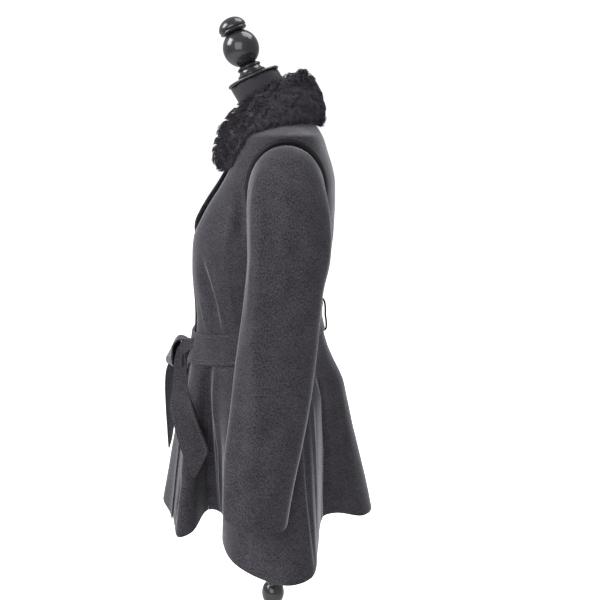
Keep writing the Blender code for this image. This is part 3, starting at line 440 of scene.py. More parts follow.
SECTION_AT = curves(SECTIONS, SECTION_COLUMNS)
FRONT_EDGE_AT = curves(FRONT_EDGES, FRONT_EDGE_COLUMNS)
SEAM_AT = curves(SEAMS, SEAM_COLUMNS)
SLEEVE_AT = curves(SLEEVE, SLEEVE_COLUMNS, range(len(SLEEVE)))


def sided(point, side):
    """The point as it is on the wearer's left (1), or mirrored to the right (-1)."""
    return Vector((side * point.x, point.y, point.z))


def section(z):
    """Half width, front, back, middle and power of the coat's outline at a height."""
    return [SECTION_AT[name](z) for name in SECTION_COLUMNS[1:]]


def outline(turn, z):
    """The smooth outline of the coat."""
    half_width, front, back, middle, power = section(z)
    across, along = math.sin(math.radians(turn)), math.cos(math.radians(turn))
    x = half_width * math.copysign(abs(across) ** power, across)
    reach = middle - front if along > 0 else back - middle
    return Vector((x, middle - math.copysign(reach * abs(along) ** power, along), z))


def turn_at_y(y, z):
    """The turn, on the wearer's left, at which the outline has this Y."""
    _, front, back, middle, power = section(z)
    reach = middle - front if y < middle else back - middle
    share = min(1.0, abs(middle - y) / reach) ** (1.0 / power)
    return math.degrees(math.acos(math.copysign(share, middle - y)))


def turn_at_x(x, z):
    """The turn, in front, at which the outline has this X."""
    half_width, _, _, _, power = section(z)
    share = min(1.0, abs(x) / half_width) ** (1.0 / power)
    return math.copysign(math.degrees(math.asin(share)), x)


def waist_z(turn):
    """The waist seam and the belt's middle, which rise to the back."""
    return WAIST_Z - WAIST_RISE * math.cos(math.radians(turn))


def hem_point(turn):
    """The hem as it hangs, a closed smooth curve through the fold table."""
    rows, count = HEM_FOLDS, len(HEM_FOLDS)
    after = next((k for k in range(count) if rows[k][0] > turn), 0)
    picked = [rows[(after + k) % count] for k in (-2, -1, 0, 1)]
    places = [row[0] for row in picked]
    for k in range(1, 4):
        while places[k] < places[k - 1]:
            places[k] += 360.0
    at = turn
    while at < places[1] - 1e-9:
        at += 360.0
    span = places[2] - places[1]
    t = (at - places[1]) / span
    found = []
    for column in (1, 2, 3):
        a, b, c, d = [row[column] for row in picked]
        start = span * (c - a) / (places[2] - places[0])
        end = span * (d - b) / (places[3] - places[1])
        ends = b * (2 * t**3 - 3 * t**2 + 1) + c * (3 * t**2 - 2 * t**3)
        found.append(ends + start * (t**3 - 2 * t**2 + t) + end * (t**3 - t**2))
    return Vector(found)


def skirt(turn, down):
    """The skirt from the waist seam (down 0) to the hem (1), its folds growing on the way."""
    turn = (turn + 180.0) % 360.0 - 180.0
    hem, top = hem_point(turn), waist_z(turn)
    z = top + (hem.z - top) * down
    share = max(0.0, down) ** FOLD_GROWTH
    smooth = outline(turn, z)
    return Vector((
        smooth.x * (1.0 - share) + hem.x * share,
        smooth.y * (1.0 - share) + hem.y * share,
        z,
    ))


def normal_of(surface, across, along, step_across=0.5, step_along=0.004):
    """Outward normal of a surface function of two numbers."""
    a = surface(across + step_across, along) - surface(across - step_across, along)
    b = surface(across, along + step_along) - surface(across, along - step_along)
    return a.cross(b).normalized()


def skirt_surface(turn, up):
    return skirt(turn, -up)


def coat_surface(turn, z):
    """Outside of the coat near the waist, above or below the seam."""
    top = waist_z(turn)
    if z >= top:
        return outline(turn, z)
    return skirt(turn, (top - z) / (top - hem_point(turn).z))


def seam_turn(surface, turn, along):
    """Half a seam gap, in degrees of turn."""
    reach = (surface(turn + 0.5, along) - surface(turn - 0.5, along)).length
    return 0.5 * CLOTH_SEAM / reach


def armhole_turn(z, back):
    """The turn of the armhole's edge at a height, on the wearer's left."""
    rise = (z - ARMHOLE_Z) / ARMHOLE_HALF_Z
    if abs(rise) >= 1.0:
        return 90.0 if z > ARMHOLE_Z else SIDE_SEAM
    reach = ARMHOLE_HALF_Y * math.sqrt(1.0 - rise * rise)
    return turn_at_y(ARMHOLE_Y + (reach if back else -reach), z)


def armhole_point(share, angle, off):
    """A point of the left armhole: share of the oval, angle from its top to the back."""
    y = ARMHOLE_Y + share * ARMHOLE_HALF_Y * math.sin(angle)
    z = ARMHOLE_Z + share * ARMHOLE_HALF_Z * math.cos(angle)
    turn = turn_at_y(y, z)
    return outline(turn, z) + normal_of(outline, turn, z) * off


def sleeve_centre(row):
    at = [SLEEVE_AT[name](max(0.0, row)) for name in SLEEVE_COLUMNS[:5]]
    inner_x, inner_z, outer_x, outer_z, mid_y = at
    return Vector((0.5 * (inner_x + outer_x), mid_y, 0.5 * (inner_z + outer_z)))


def sleeve_point(angle, row):
    """Left sleeve: angle from the outer side to the back, row -1 at the armhole."""
    a = math.radians(angle)
    if row < 0.0:
        return armhole_point(SLEEVE_START, a, 0.0).lerp(sleeve_point(angle, 0.0), row + 1.0)
    at = [column(row) for column in SLEEVE_AT.values()]
    inner_x, inner_z, outer_x, outer_z, mid_y, half_y, slant = at
    c = math.copysign(abs(math.cos(a)) ** SLEEVE_POWER, math.cos(a))
    s = math.copysign(abs(math.sin(a)) ** SLEEVE_POWER, math.sin(a))
    dent = eased(row / TROUGH_ROWS) * math.exp(-(((angle - TROUGH_TURN) / TROUGH_SPREAD) ** 2))
    c -= TROUGH_SHARE * dent
    return Vector((
        0.5 * (inner_x + outer_x) + 0.5 * (outer_x - inner_x) * c,
        mid_y + half_y * s,
        0.5 * (inner_z + outer_z) + 0.5 * (outer_z - inner_z) * c + slant * half_y * s,
    ))


def hindarm(row):
    """Angle of the seam at the back of the arm."""
    return HINDARM_TOP + (HINDARM_CUFF - HINDARM_TOP) * eased(row / (len(SLEEVE) - 1))


def sizes():
    return bpy.context.scene.coat_sizes


def colours():
    return bpy.context.scene.coat_colours


def only(piece):
    """Select and activate one object."""
    bpy.ops.object.select_all(action="DESELECT")
    piece.select_set(True)
    bpy.context.view_layer.objects.active = piece


def modify(piece, kind, **values):
    """Add a modifier, set it and apply it."""
    only(piece)
    bpy.ops.object.modifier_add(type=kind)
    modifier = piece.modifiers[-1]
    for name, value in values.items():
        setattr(modifier, name, value)
    bpy.ops.object.modifier_apply(modifier=modifier.name)


def subdivided(piece, levels):
    corners = "PRESERVE_CORNERS"
    modify(piece, "SUBSURF", levels=levels, render_levels=levels, boundary_smooth=corners)


def finished(piece, slot, finish, *nodes):
    """Give a piece its material, ride it on the root and let it stand for its nodes."""
    piece.data.materials.clear()
    piece.data.materials.append(finish)
    only(piece)
    bpy.ops.object.shade_smooth_by_angle(angle=math.radians(40.0))
    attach(piece, "root")
    if nodes:
        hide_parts(*nodes)
    return piece


def new_piece(name, mesh):
    piece = bpy.data.objects.new(name, mesh)
    bpy.context.scene.collection.objects.link(piece)
    return piece


def run_lengths(points):
    """Distance along a run of points, from its start."""
    found = [0.0]
    for a, b in zip(points, points[1:]):
        found.append(found[-1] + (b - a).length)
    return found


def grid_mesh(name, grid, ring, inside):
    """One layer of cloth through a grid of points, with its own lengths as the UV map."""
    rows, columns = len(grid), len(grid[0])
    last = columns if ring else columns - 1
    across = [run_lengths([*row, row[0]] if ring else row) for row in grid]
    down = run_lengths([row[columns // 2] for row in grid])
    faces, corners = [], []
    for i in range(rows - 1):
        for j in range(last):
            k = (j + 1) % columns
            here, below = i * columns, (i + 1) * columns
            faces.append((here + j, here + k, below + k, below + j))
            corners.append(((i, j), (i, j + 1), (i + 1, j + 1), (i + 1, j)))
    if inside:
        facing = 0.0
        for i in range(rows - 1):
            for j in range(last):
                k = (j + 1) % columns
                normal = (grid[i][k] - grid[i][j]).cross(grid[i + 1][j] - grid[i][j])
                facing += normal.dot(grid[i][j] - inside[i])
        if facing < 0.0:
            faces = [face[::-1] for face in faces]
            corners = [corner[::-1] for corner in corners]
    mesh = bpy.data.meshes.new(name)
    mesh.from_pydata([point for row in grid for point in row], [], faces)
    layer = mesh.uv_layers.new(name="cloth")
    flat = []
    for face in corners:
        for i, j in face:
            flat.extend((across[i][j] - 0.5 * across[i][-1], -down[i]))
    layer.data.foreach_set("uv", flat)
    sharp = mesh.attributes.new("crease_vert", "FLOAT", "POINT")
    if not ring:
        for j in (0, columns - 1):
            for i in range(1, rows - 1):
                before, after = grid[i][j] - grid[i - 1][j], grid[i + 1][j] - grid[i][j]
                if before.angle(after, 0.0) > math.radians(CORNER_ANGLE):
                    sharp.data[i * columns + j].value = 1.0
    return mesh


def guide_of(surface, acrosses, alongs, sides=(1,)):
    """Spots and normals of a whole surface, which pieces that meet at a seam share."""
    spots, normals = [], []
    for side in sides:
        for along in alongs:
            for across in acrosses:
                p, n = surface(across, along), normal_of(surface, across, along)
                spots.append(sided(p, side))
                normals.append(np.array((side * n.x, n.y, n.z)))
    tree = kdtree.KDTree(len(spots))
    for k, spot in enumerate(spots):
        tree.insert(spot, k)
    tree.balance()

    def normal_at(point):
        total = np.zeros(3)
        for _, k, away in tree.find_n(Vector(point), 5):
            total += normals[k] / (away + 1e-4)
        return total / np.linalg.norm(total)

    return normal_at


def sag(piece, on, guide=None):
    """Unevenness and creases of soft cloth, moved along the surface's normals."""
    mesh = piece.data
    count = len(mesh.vertices)
    points, normals = np.empty(count * 3), np.empty(count * 3)
    mesh.vertices.foreach_get("co", points)
    mesh.vertices.foreach_get("normal", normals)
    points, normals = points.reshape(-1, 3), normals.reshape(-1, 3)
    if guide:
        normals = np.array([guide(p) for p in points])
    uneven = sizes().unevenness
    lift = np.array([
        uneven * (noise.noise(Vector(p) * 9.0) + 0.35 * noise.noise(Vector(p) * 27.0))
        for p in points
    ])
    for width, depth, *run in CREASES.get(on, ()):
        width, depth, run = width / 1000.0, depth / 1000.0, np.array(run) / 1000.0
        lengths = np.linalg.norm(np.diff(run, axis=0), axis=1)
        away, place = np.full(count, np.inf), np.zeros(count)
        for k, length in enumerate(lengths):
            step = run[k + 1] - run[k]
            along = np.clip((points - run[k]) @ step / (step @ step), 0.0, 1.0)
            gap = np.linalg.norm(points - (run[k] + along[:, None] * step), axis=1)
            nearer = gap < away
            away[nearer] = gap[nearer]
            place[nearer] = ((lengths[:k].sum() + along * length) / lengths.sum())[nearer]
        fade = np.sin(np.pi * (place * 0.9 + 0.05)) ** 0.6
        reach = (away / width) ** 2
        lift += depth * fade * np.exp(-reach) * (1.0 - 0.45 * reach)
    mesh.vertices.foreach_set("co", (points + normals * lift[:, None]).ravel())
    mesh.update()


def cloth(
    name, node, grid, finish, rests_on, slot="charcoal_wool", inside=None, ring=False, levels=1,
    creases=None, guide=None, thickness=None, offset=-1.0, held="hung",
):
    """A cloth piece on its solid's form: one smooth layer, sagged, given its wall and soft rims."""
    piece = new_piece(name, grid_mesh(name, grid, ring, inside))
    if levels:
        subdivided(piece, levels)
    sag(piece, creases, guide)
    thickness = thickness or sizes().cloth
    modify(piece, "SOLIDIFY", thickness=thickness, offset=offset, use_even_offset=True)
    modify(
        piece, "BEVEL", width=0.32 * thickness, segments=2, limit_method="ANGLE",
        angle_limit=math.radians(60.0), harden_normals=False,
    )
    finished(piece, slot, finish, node)
    return piece


def panel_grid(surface, levels, left, right, columns, inset=None, height=None):
    """Points of a cut piece between two seams, each a turn at each level."""
    grid = []
    for level in levels:
        start, end = left(level), right(level)
        row = []
        for j in range(columns + 1):
            turn = start + (end - start) * j / columns
            along = height(turn, level) if height else level
            point = surface(turn, along)
            if inset:
                point = point - normal_of(surface, turn, along) * inset(turn, along)
            row.append(point)
        grid.append(row)
    return grid


def skirt_inset(turn, _up):
    return lap_inset(turn, SKIRT_RIGHT_TURN)


def body_axis(grid):
    return [Vector((0.0, 0.0, row[0].z)) for row in grid]


def left_edge(z):
    return turn_at_x(FRONT_EDGE_AT["left_x"](z), z)


def right_edge(z):
    return turn_at_x(FRONT_EDGE_AT["right_x"](z), z)


def lap_inset(turn, edge):
    """How far a left front is pushed in where the right front lies over it up to its edge."""
    return LAP_DEPTH * eased((edge + LAP_MARGIN + LAP_RAMP - turn) / LAP_RAMP)


def neckline(z):
    """1 along the V of the neck, 0 below and above it."""
    return eased((z - 1.165) / 0.035) * eased((1.35 - z) / 0.035)


def left_inset(turn, z):
    """The left front lies in along the V of the neck."""
    sink = V_SINK * neckline(z) * eased(1.0 - (turn - left_edge(z)) / V_TURN)
    return lap_inset(turn, right_edge(z)) + sink


def right_inset(turn, z):
    """The right front's edge stands off along the V of the neck."""
    return -V_STAND * neckline(z) * eased(1.0 - (right_edge(z) - turn) / V_TURN)


def bodice_height(turn, level):
    """The lowest levels rise to the back with the waist seam, the upper ones are level."""
    slope = min(1.0, max(0.0, (LEVEL_FROM - level) / (LEVEL_FROM - WAIST_Z)))
    return level - slope * WAIST_RISE * math.cos(math.radians(turn)) + slope * 0.5 * CLOTH_SEAM


def mirrored(edge):
    """The same edge on the wearer's other side."""
    return lambda z: -edge(z)


def round_back(edge):
    """The same edge on the wearer's right, reached over the centre back."""
    return lambda z: 360.0 - edge(z)


def trimmed(turn, z, sign):
    return turn + sign * seam_turn(outline, turn, z)


def armhole_heights():
    return [
        ARMHOLE_Z - ARMHOLE_HALF_Z * math.cos(math.pi * k / ARMHOLE_LEVELS)
        for k in range(ARMHOLE_LEVELS + 1)
    ]


def cut_edge(turn_at, sign):
    """An edge half a seam gap from a seam or an armhole."""
    return lambda z: trimmed(turn_at(z), z, sign)


def bodice_pieces():
    """Name, levels, edges, columns and inset of the seven pieces of the bodice."""
    armhole = armhole_heights()
    front_top, back_top = [armhole[k] for k in PRINCESS_ENDS]
    front_seam, back_seam = SEAM_AT["front_turn"], SEAM_AT["back_turn"]

    def front_turn(z):
        return front_seam(z) if z <= front_top else min(90.0, armhole_turn(z, False))

    def back_turn(z):
        return back_seam(z) if z <= back_top else max(90.0, armhole_turn(z, True))

    def front_side_turn(z):
        return min(SIDE_SEAM, armhole_turn(z, False))

    def back_side_turn(z):
        return max(SIDE_SEAM, armhole_turn(z, True))

    front_edge, back_edge = cut_edge(front_turn, -1), cut_edge(back_turn, 1)
    front_side, back_side = cut_edge(front_side_turn, -1), cut_edge(back_side_turn, 1)
    side_front = cut_edge(front_seam, 1), front_side
    side_back = back_side, cut_edge(back_seam, -1)
    ends = [front_top + SEAM_GAP, back_top + SEAM_GAP]
    full = sorted([*WAIST_TO_ARMHOLE, *armhole, *ends, *SHOULDER_LEVELS])
    front = [z for z in full if z <= front_top]
    back = [z for z in full if z <= back_top]
    return (
        ("bodice_front_L", full, left_edge, front_edge, 18, left_inset),
        ("bodice_front_R", full, mirrored(front_edge), right_edge, 14, right_inset),
        ("bodice_side_front_L", front, *side_front, 8, None),
        ("bodice_side_front_R", front, *map(mirrored, side_front[::-1]), 8, None),
        ("bodice_side_back_L", back, *side_back, 8, None),
        ("bodice_side_back_R", back, *map(mirrored, side_back[::-1]), 8, None),
        ("bodice_back", full, back_edge, round_back(back_edge), 16, None),
    )


def skirt_edge(turn, sign):
    """A skirt seam's edge, half a seam gap from the turn."""
    return lambda up: turn + sign * seam_turn(skirt_surface, turn, up)


def once(name, colour, build):
    """The material of this name, built at its first use, with its plain colour for the viewport."""
    found = bpy.data.materials.get(name)
    if not found:
        found = bpy.data.materials.new(name)
        found.use_nodes = True
        found.diffuse_color = (*colour, 1.0)
        build(found.node_tree, found.node_tree.nodes["Principled BSDF"])
    return found


def add(tree, kind, **values):
    node = tree.nodes.new(kind)
    for name, value in values.items():
        setattr(node, name, value)
    return node


def fill(node, values):
    """Set a node's own sockets."""
    for name, value in values.items():
        node.inputs[name].default_value = value


def noise_node(tree, vector, scale, detail, roughness=0.55, stretch=(1.0, 1.0, 1.0)):
    """A noise texture behind a mapping that stretches it."""
    mapping, texture = add(tree, "ShaderNodeMapping"), add(tree, "ShaderNodeTexNoise")
    fill(mapping, {"Scale": stretch})
    fill(texture, {"Scale": scale, "Detail": detail, "Roughness": roughness})
    tree.links.new(vector, mapping.inputs["Vector"])
    tree.links.new(mapping.outputs["Vector"], texture.inputs["Vector"])
    return texture.outputs["Fac"]


def own_noises(tree, *settings):
    """Noise textures in the piece's own space."""
    place = add(tree, "ShaderNodeTexCoord").outputs["Object"]
    return [noise_node(tree, place, *values) for values in settings]


def weighed(tree, values, weights):
    """Weighed sum of sockets."""
    total = None
    for value, weight in zip(values, weights):
        node = add(tree, "ShaderNodeMath", operation="MULTIPLY_ADD")
        node.inputs[1].default_value = weight
        node.inputs[2].default_value = 0.0
        tree.links.new(value, node.inputs[0])
        if total:
            tree.links.new(total, node.inputs[2])
        total = node.outputs["Value"]
    return total


def coloured(tree, shader, mask, spread, shades):
    """Base colour that runs from one shade to the other over a spread of the mask."""
    ramp = add(tree, "ShaderNodeValToRGB")
    for stop, place, shade in zip(ramp.color_ramp.elements, spread, shades):
        stop.position, stop.color = place, (*shade, 1.0)
    tree.links.new(mask, ramp.inputs["Fac"])
    tree.links.new(ramp.outputs["Color"], shader.inputs["Base Color"])


def shades_of(colour, *shares):
    return [[share * c for c in colour] for share in shares]


def relief(tree, shader, height, strength, distance):
    """Bump from a height."""
    bump = add(tree, "ShaderNodeBump")
    fill(bump, {"Strength": strength, "Distance": distance})
    tree.links.new(height, bump.inputs["Height"])
    tree.links.new(bump.outputs["Normal"], shader.inputs["Normal"])


def nap_group():
    """Brushed fibres: a mask of light and dark flecks and a height, along the cloth's length."""
    tree = bpy.data.node_groups.get("brushed_nap")
    if tree:
        return tree
    tree = bpy.data.node_groups.new("brushed_nap", "ShaderNodeTree")
    tree.interface.new_socket("Vector", in_out="INPUT", socket_type="NodeSocketVector")
    for name in ("Flecks", "Height"):
        tree.interface.new_socket(name, in_out="OUTPUT", socket_type="NodeSocketFloat")
    vector, target = add(tree, "NodeGroupInput").outputs["Vector"], add(tree, "NodeGroupOutput")
    fibres = noise_node(tree, vector, 520.0, 4.0, 0.66, (1.0, 0.6, 1.0))
    fleck = noise_node(tree, vector, 1300.0, 2.0, 0.6)
    patch = noise_node(tree, vector, 26.0, 3.0)
    cloud = noise_node(tree, vector, 110.0, 3.0, 0.6)
    flecks = weighed(tree, [fibres, fleck, patch, cloud], (0.5, 0.34, 0.08, 0.08))
    height = weighed(tree, [fibres, fleck, cloud], (0.55, 0.3, 0.35))
    tree.links.new(flecks, target.inputs["Flecks"])
    tree.links.new(height, target.inputs["Height"])
    return tree


def nap_cloth(name, dark, light, roughness, bump, sheen, place="UV"):
    """Cloth with a nap: flecked colour, bump and a soft sheen where fibres stand at its edges."""

    def build(tree, shader):
        spot = add(tree, "ShaderNodeTexCoord")
        nap = add(tree, "ShaderNodeGroup", node_tree=nap_group())
        tree.links.new(spot.outputs[place], nap.inputs["Vector"])
        coloured(tree, shader, nap.outputs["Flecks"], (0.43, 0.57), (dark, light))
        relief(tree, shader, nap.outputs["Height"], bump, 0.0008)
        fill(shader, {
            "Roughness": roughness, "Specular IOR Level": 0.18, "Sheen Weight": sheen,
            "Sheen Roughness": 0.28, "Sheen Tint": (0.85, 0.85, 0.92, 1.0),
        })

    return once(name, light, build)


def wool():
    """Charcoal heather wool with a brushed nap."""
    dark, light = colours().wool_dark, colours().wool_light
    return nap_cloth("charcoal_heather_wool", dark, light, 0.92, 0.7, 0.75)


def trim():
    """Black satin-faced band."""
    dark = (0.007, 0.006, 0.008)
    return nap_cloth("black_satin_band", dark, colours().trim, 0.55, 0.2, 0.05)


def thread():
    """Sewing thread, a shade lighter than the wool: partly the thread's own colour, partly a
    painted highlight of the light rim along the belt's and straps' edges.
    """
    # Painted highlight: these light shades make the stitch rows read as the light rim along the
    # cloth's edges.
    dark, light = (0.13, 0.125, 0.135), (0.22, 0.215, 0.23)
    return nap_cloth("grey_thread_painted_rim_highlight", dark, light, 0.6, 0.1, 0.1, "Object")


def braid():
    """Twisted thread of the belt's carrier."""
    dark, light = (0.006, 0.005, 0.007), (0.022, 0.02, 0.024)
    return nap_cloth("charcoal_braid", dark, light, 0.8, 0.2, 0.1, "Object")


def cover():
    """Dark stretched jersey of the form."""

    def build(tree, shader):
        ribs, soft = own_noises(tree, (900.0, 2.0, 0.5, (1.0, 1.0, 0.35)), (14.0, 3.0))
        mask = weighed(tree, [ribs, soft], (0.5, 0.5))
        coloured(tree, shader, mask, (0.35, 0.65), shades_of(colours().cover, 0.7, 1.35))
        relief(tree, shader, ribs, 0.3, 0.0004)
        fill(shader, {"Roughness": 0.8, "Sheen Weight": 0.15})

    return once("dark_form_jersey", colours().cover, build)


def fur(name="black_curled_fur"):
    """Black fur, each lock a little lighter or darker."""

    def build(tree, shader):
        lock, hair = own_noises(tree, (160.0, 2.0), (900.0, 2.0))
        mask = weighed(tree, [lock, hair], (0.6, 0.4))
        coloured(tree, shader, mask, (0.35, 0.68), shades_of(colours().fur, 0.82, 1.15))
        fill(shader, {"Roughness": 0.9, "Specular IOR Level": 0.06})

    return once(name, colours().fur, build)


def lacquer():
    """Turned wood under black gloss lacquer, with a faint grain and fine wear."""

    def build(tree, shader):
        grain, smear = own_noises(tree, (60.0, 5.0, 0.6, (1.0, 1.0, 0.12)), (22.0, 3.0))
        coloured(tree, shader, grain, (0.35, 0.7), shades_of(colours().lacquer, 0.8, 1.5))
        relief(tree, shader, grain, 0.06, 0.0006)
        rough = add(tree, "ShaderNodeMapRange")
        fill(rough, {"To Min": 0.15, "To Max": 0.3})
        tree.links.new(smear, rough.inputs["Value"])
        tree.links.new(rough.outputs["Result"], shader.inputs["Roughness"])
        fill(shader, {"Coat Weight": 0.4, "Coat Roughness": 0.07})

    return once("black_gloss_lacquer", colours().lacquer, build)


def camera_glow(tree, socket, extra, least):
    """A strength that is greater where the camera sees it straight, for a white background."""
    seen = add(tree, "ShaderNodeLightPath")
    glow = add(tree, "ShaderNodeMath", operation="MULTIPLY_ADD")
    glow.inputs[1].default_value, glow.inputs[2].default_value = extra, least
    tree.links.new(seen.outputs["Is Camera Ray"], glow.inputs[0])
    tree.links.new(glow.outputs["Value"], socket)


def pale_floor():
    """Plain pale floor."""

    def build(tree, shader):
        cloud = own_noises(tree, (1.5, 3.0))[0]
        coloured(tree, shader, cloud, (0.0, 1.0), shades_of(colours().floor, 0.98, 1.0))
        fill(shader, {"Roughness": 0.9, "Emission Color": (1.0, 1.0, 1.0, 1.0)})
        camera_glow(tree, shader.inputs["Emission Strength"], 1.05, 0.0)

    return once("pale_floor", colours().floor, build)


def turned(name, profile, place, sides=72):
    """A turned piece: a circle extruded and resized from step to step of its profile."""
    bpy.ops.object.select_all(action="DESELECT")
    height, radius = profile[0]
    bpy.ops.mesh.primitive_circle_add(
        vertices=sides, radius=radius, fill_type="NGON", location=(0.0, 0.0, height)
    )
    piece = bpy.context.active_object
    piece.name = piece.data.name = name
    bpy.ops.object.transform_apply(location=True, rotation=True, scale=True)
    bpy.ops.object.mode_set(mode="EDIT")
    bpy.ops.mesh.select_all(action="SELECT")
    for (low, narrow), (high, wide) in zip(profile, profile[1:]):
        bpy.ops.mesh.extrude_region_move(TRANSFORM_OT_translate={"value": (0.0, 0.0, high - low)})
        share = wide / narrow
        bpy.ops.transform.resize(value=(share, share, 1.0), center_override=(0.0, 0.0, high))
    bpy.ops.mesh.select_all(action="SELECT")
    bpy.ops.mesh.normals_make_consistent(inside=False)
    bpy.ops.object.mode_set(mode="OBJECT")
    piece.data.transform(place)
    return piece


def neck_place(height):
    """A frame on the neck's axis, so far above the neck's top."""
    lean = Matrix.Rotation(math.radians(NECK_TILT), 4, "X")
    up = lean @ Vector((0.0, 0.0, height))
    return Matrix.Translation(Vector(NECK_TOP) + up) @ lean


def smooth_copy(node, name, levels=1, shrink=0.0):
    """A merged, smoothed copy of a CAD node's mesh, drawn in along its normals."""
    piece = new_piece(name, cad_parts[node].data.copy())
    data = bmesh.new()
    data.from_mesh(piece.data)
    bmesh.ops.remove_doubles(data, verts=data.verts, dist=1e-5)
    bmesh.ops.join_triangles(
        data, faces=data.faces, angle_face_threshold=math.radians(50.0),
        angle_shape_threshold=math.radians(60.0),
    )
    data.to_mesh(piece.data)
    data.free()
    if shrink:
        for vertex in piece.data.vertices:
            vertex.co -= vertex.normal * shrink
    subdivided(piece, levels)
    return piece


def collar_samples(count, seed):
    """Points and normals spread evenly over the collar's solid."""
    data = bmesh.new()
    data.from_mesh(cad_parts["fur_collar"].data)
    bmesh.ops.remove_doubles(data, verts=data.verts, dist=1e-5)
    bmesh.ops.triangulate(data, faces=data.faces)
    data.normal_update()
    corners = np.array([[v.co for v in face.verts] for face in data.faces])
    normals = np.array([[v.normal for v in face.verts] for face in data.faces])
    data.free()
    rng = np.random.default_rng(seed)
    areas = np.linalg.norm(
        np.cross(corners[:, 1] - corners[:, 0], corners[:, 2] - corners[:, 0]), axis=1
    )
    picked = rng.choice(len(corners), size=count, p=areas / areas.sum())
    a, b = rng.random(count), rng.random(count)
    flip = a + b > 1.0
    a[flip], b[flip] = 1.0 - a[flip], 1.0 - b[flip]
    weights = np.stack([1.0 - a - b, a, b], axis=1)[:, :, None]
    points = (corners[picked] * weights).sum(axis=1)
    facing = (normals[picked] * weights).sum(axis=1)
    return points, facing / np.linalg.norm(facing, axis=1)[:, None], rng


def unit(vectors):
    return vectors / np.maximum(np.linalg.norm(vectors, axis=-1, keepdims=True), 1e-9)


def fur_locks(name, side, count, seed):
    """Curled hairs in locks over one half of the collar, each a thin three-sided taper."""
    noise.seed_set(seed)
    points, normals, rng = collar_samples(int(count * 2.2), seed)
    keep = np.flatnonzero(points[:, 0] * side >= 0.0)[:count]
    points, normals = points[keep], normals[keep]
    count = len(points)
    neck = np.array([0.0, 0.01, 1.36])
    out = points - neck
    out[:, 2] *= 0.3
    comb = unit(out) * 0.45 + np.array([0.0, 0.0, -0.5])
    swirl = np.array([noise.noise_vector(Vector(p) * 34.0) for p in points])
    comb = comb + 1.1 * swirl
    comb = unit(comb - normals * (comb * normals).sum(axis=1)[:, None])
    side_way = np.cross(normals, comb)
    length = sizes().fur_length * (0.75 + 0.5 * rng.random(count))
    depth = sizes().fur_depth
    phase = np.array([noise.noise(Vector(p) * 60.0) for p in points]) * 9.0
    rings = HAIR_RINGS
    path = np.empty((rings, count, 3))
    for k in range(rings):
        t = k / (rings - 1)
        rise = -depth + (depth + 0.0015) * math.sin(0.5 * math.pi * min(1.0, t * 1.25))
        curl = CURL_RADIUS * t ** 0.8
        turn = phase + 7.0 * t
        path[k] = points + normals * rise + comb * (length * t * 0.62)[:, None]
        path[k] += curl * (side_way * np.cos(turn)[:, None] + 0.6 * normals * np.sin(turn)[:, None])
    heads = rng.choice(count, size=max(8, count // LOCK_HAIRS), replace=False)
    tree = kdtree.KDTree(len(heads))
    for i, head in enumerate(heads):
        tree.insert(points[head], i)
    tree.balance()
    near = np.array([heads[tree.find(p)[1]] for p in points])
    for k in range(rings):
        pull = LOCK_PULL * (k / (rings - 1)) ** 1.2
        path[k] = path[k] * (1.0 - pull) + path[k][near] * pull
    thick = sizes().hair * (0.8 + 0.4 * rng.random(count))
    vertices = np.empty((count, rings, 3, 3))
    for k in range(rings):
        t = k / (rings - 1)
        run = unit(path[min(rings - 1, k + 1)] - path[max(0, k - 1)])
        first = unit(np.cross(run, normals) + 1e-6)
        second = np.cross(run, first)
        radius = (thick * (1.0 - 0.85 * t * t))[:, None]
        for j in range(3):
            a = math.tau * j / 3
            vertices[:, k, j] = path[k] + radius * (first * math.cos(a) + second * math.sin(a))
    faces = []
    for i in range(count):
        base = i * rings * 3
        for k in range(rings - 1):
            for j in range(3):
                low, high = base + k * 3, base + (k + 1) * 3
                faces.append((low + j, low + (j + 1) % 3, high + (j + 1) % 3, high + j))
        faces.append((base + 2, base + 1, base))
        faces.append((base + rings * 3 - 3, base + rings * 3 - 2, base + rings * 3 - 1))
    mesh = bpy.data.meshes.new(name)
    mesh.from_pydata(vertices.reshape(-1, 3).tolist(), [], faces)
    return new_piece(name, mesh)


def stitches(name, runs, finish):
    """Rows of stitches: each a small spindle that lies along its run, half sunk in the cloth."""
    points, faces = [], []
    long, thick, pitch = sizes().stitch, STITCH_RADIUS, sizes().stitch * 1.3
    for run, ups in runs:
        lengths = run_lengths(run)
        for k in range(int(lengths[-1] / pitch)):
            at = (k + 0.5) * pitch
            i = max(0, min(len(run) - 2, bisect.bisect_right(lengths, at) - 1))
            share = (at - lengths[i]) / max(1e-9, lengths[i + 1] - lengths[i])
            centre = run[i].lerp(run[i + 1], share)
            up = ups[i].lerp(ups[i + 1], share).normalized()
            along = (run[i + 1] - run[i]).normalized()
            across = along.cross(up)
            base = len(points)
            points.extend((
                centre - along * 0.5 * long - up * STITCH_SUNK,
                centre + along * 0.5 * long - up * STITCH_SUNK,
                centre + across * thick, centre + up * thick,
                centre - across * thick, centre - up * thick,
            ))
            for a, b in ((2, 3), (3, 4), (4, 5), (5, 2)):
                faces.append((base, base + b, base + a))
                faces.append((base + 1, base + a, base + b))
    mesh = bpy.data.meshes.new(name)
    mesh.from_pydata(points, [], faces)
    piece = new_piece(name, mesh)
    only(piece)
    bpy.ops.object.mode_set(mode="EDIT")
    bpy.ops.mesh.select_all(action="SELECT")
    bpy.ops.mesh.normals_make_consistent(inside=False)
    bpy.ops.object.mode_set(mode="OBJECT")
    return finished(piece, "charcoal_wool", finish)


def belt_point(turn, height, off):
    """A point of the belt: off is its distance from the coat."""
    z = waist_z(turn) + height
    base = coat_surface(turn, z)
    flat = Vector((base.x, base.y + 0.02, 0.0)).normalized()
    away = (normal_of(coat_surface, turn, z) + flat).normalized()
    return base + away * off, away


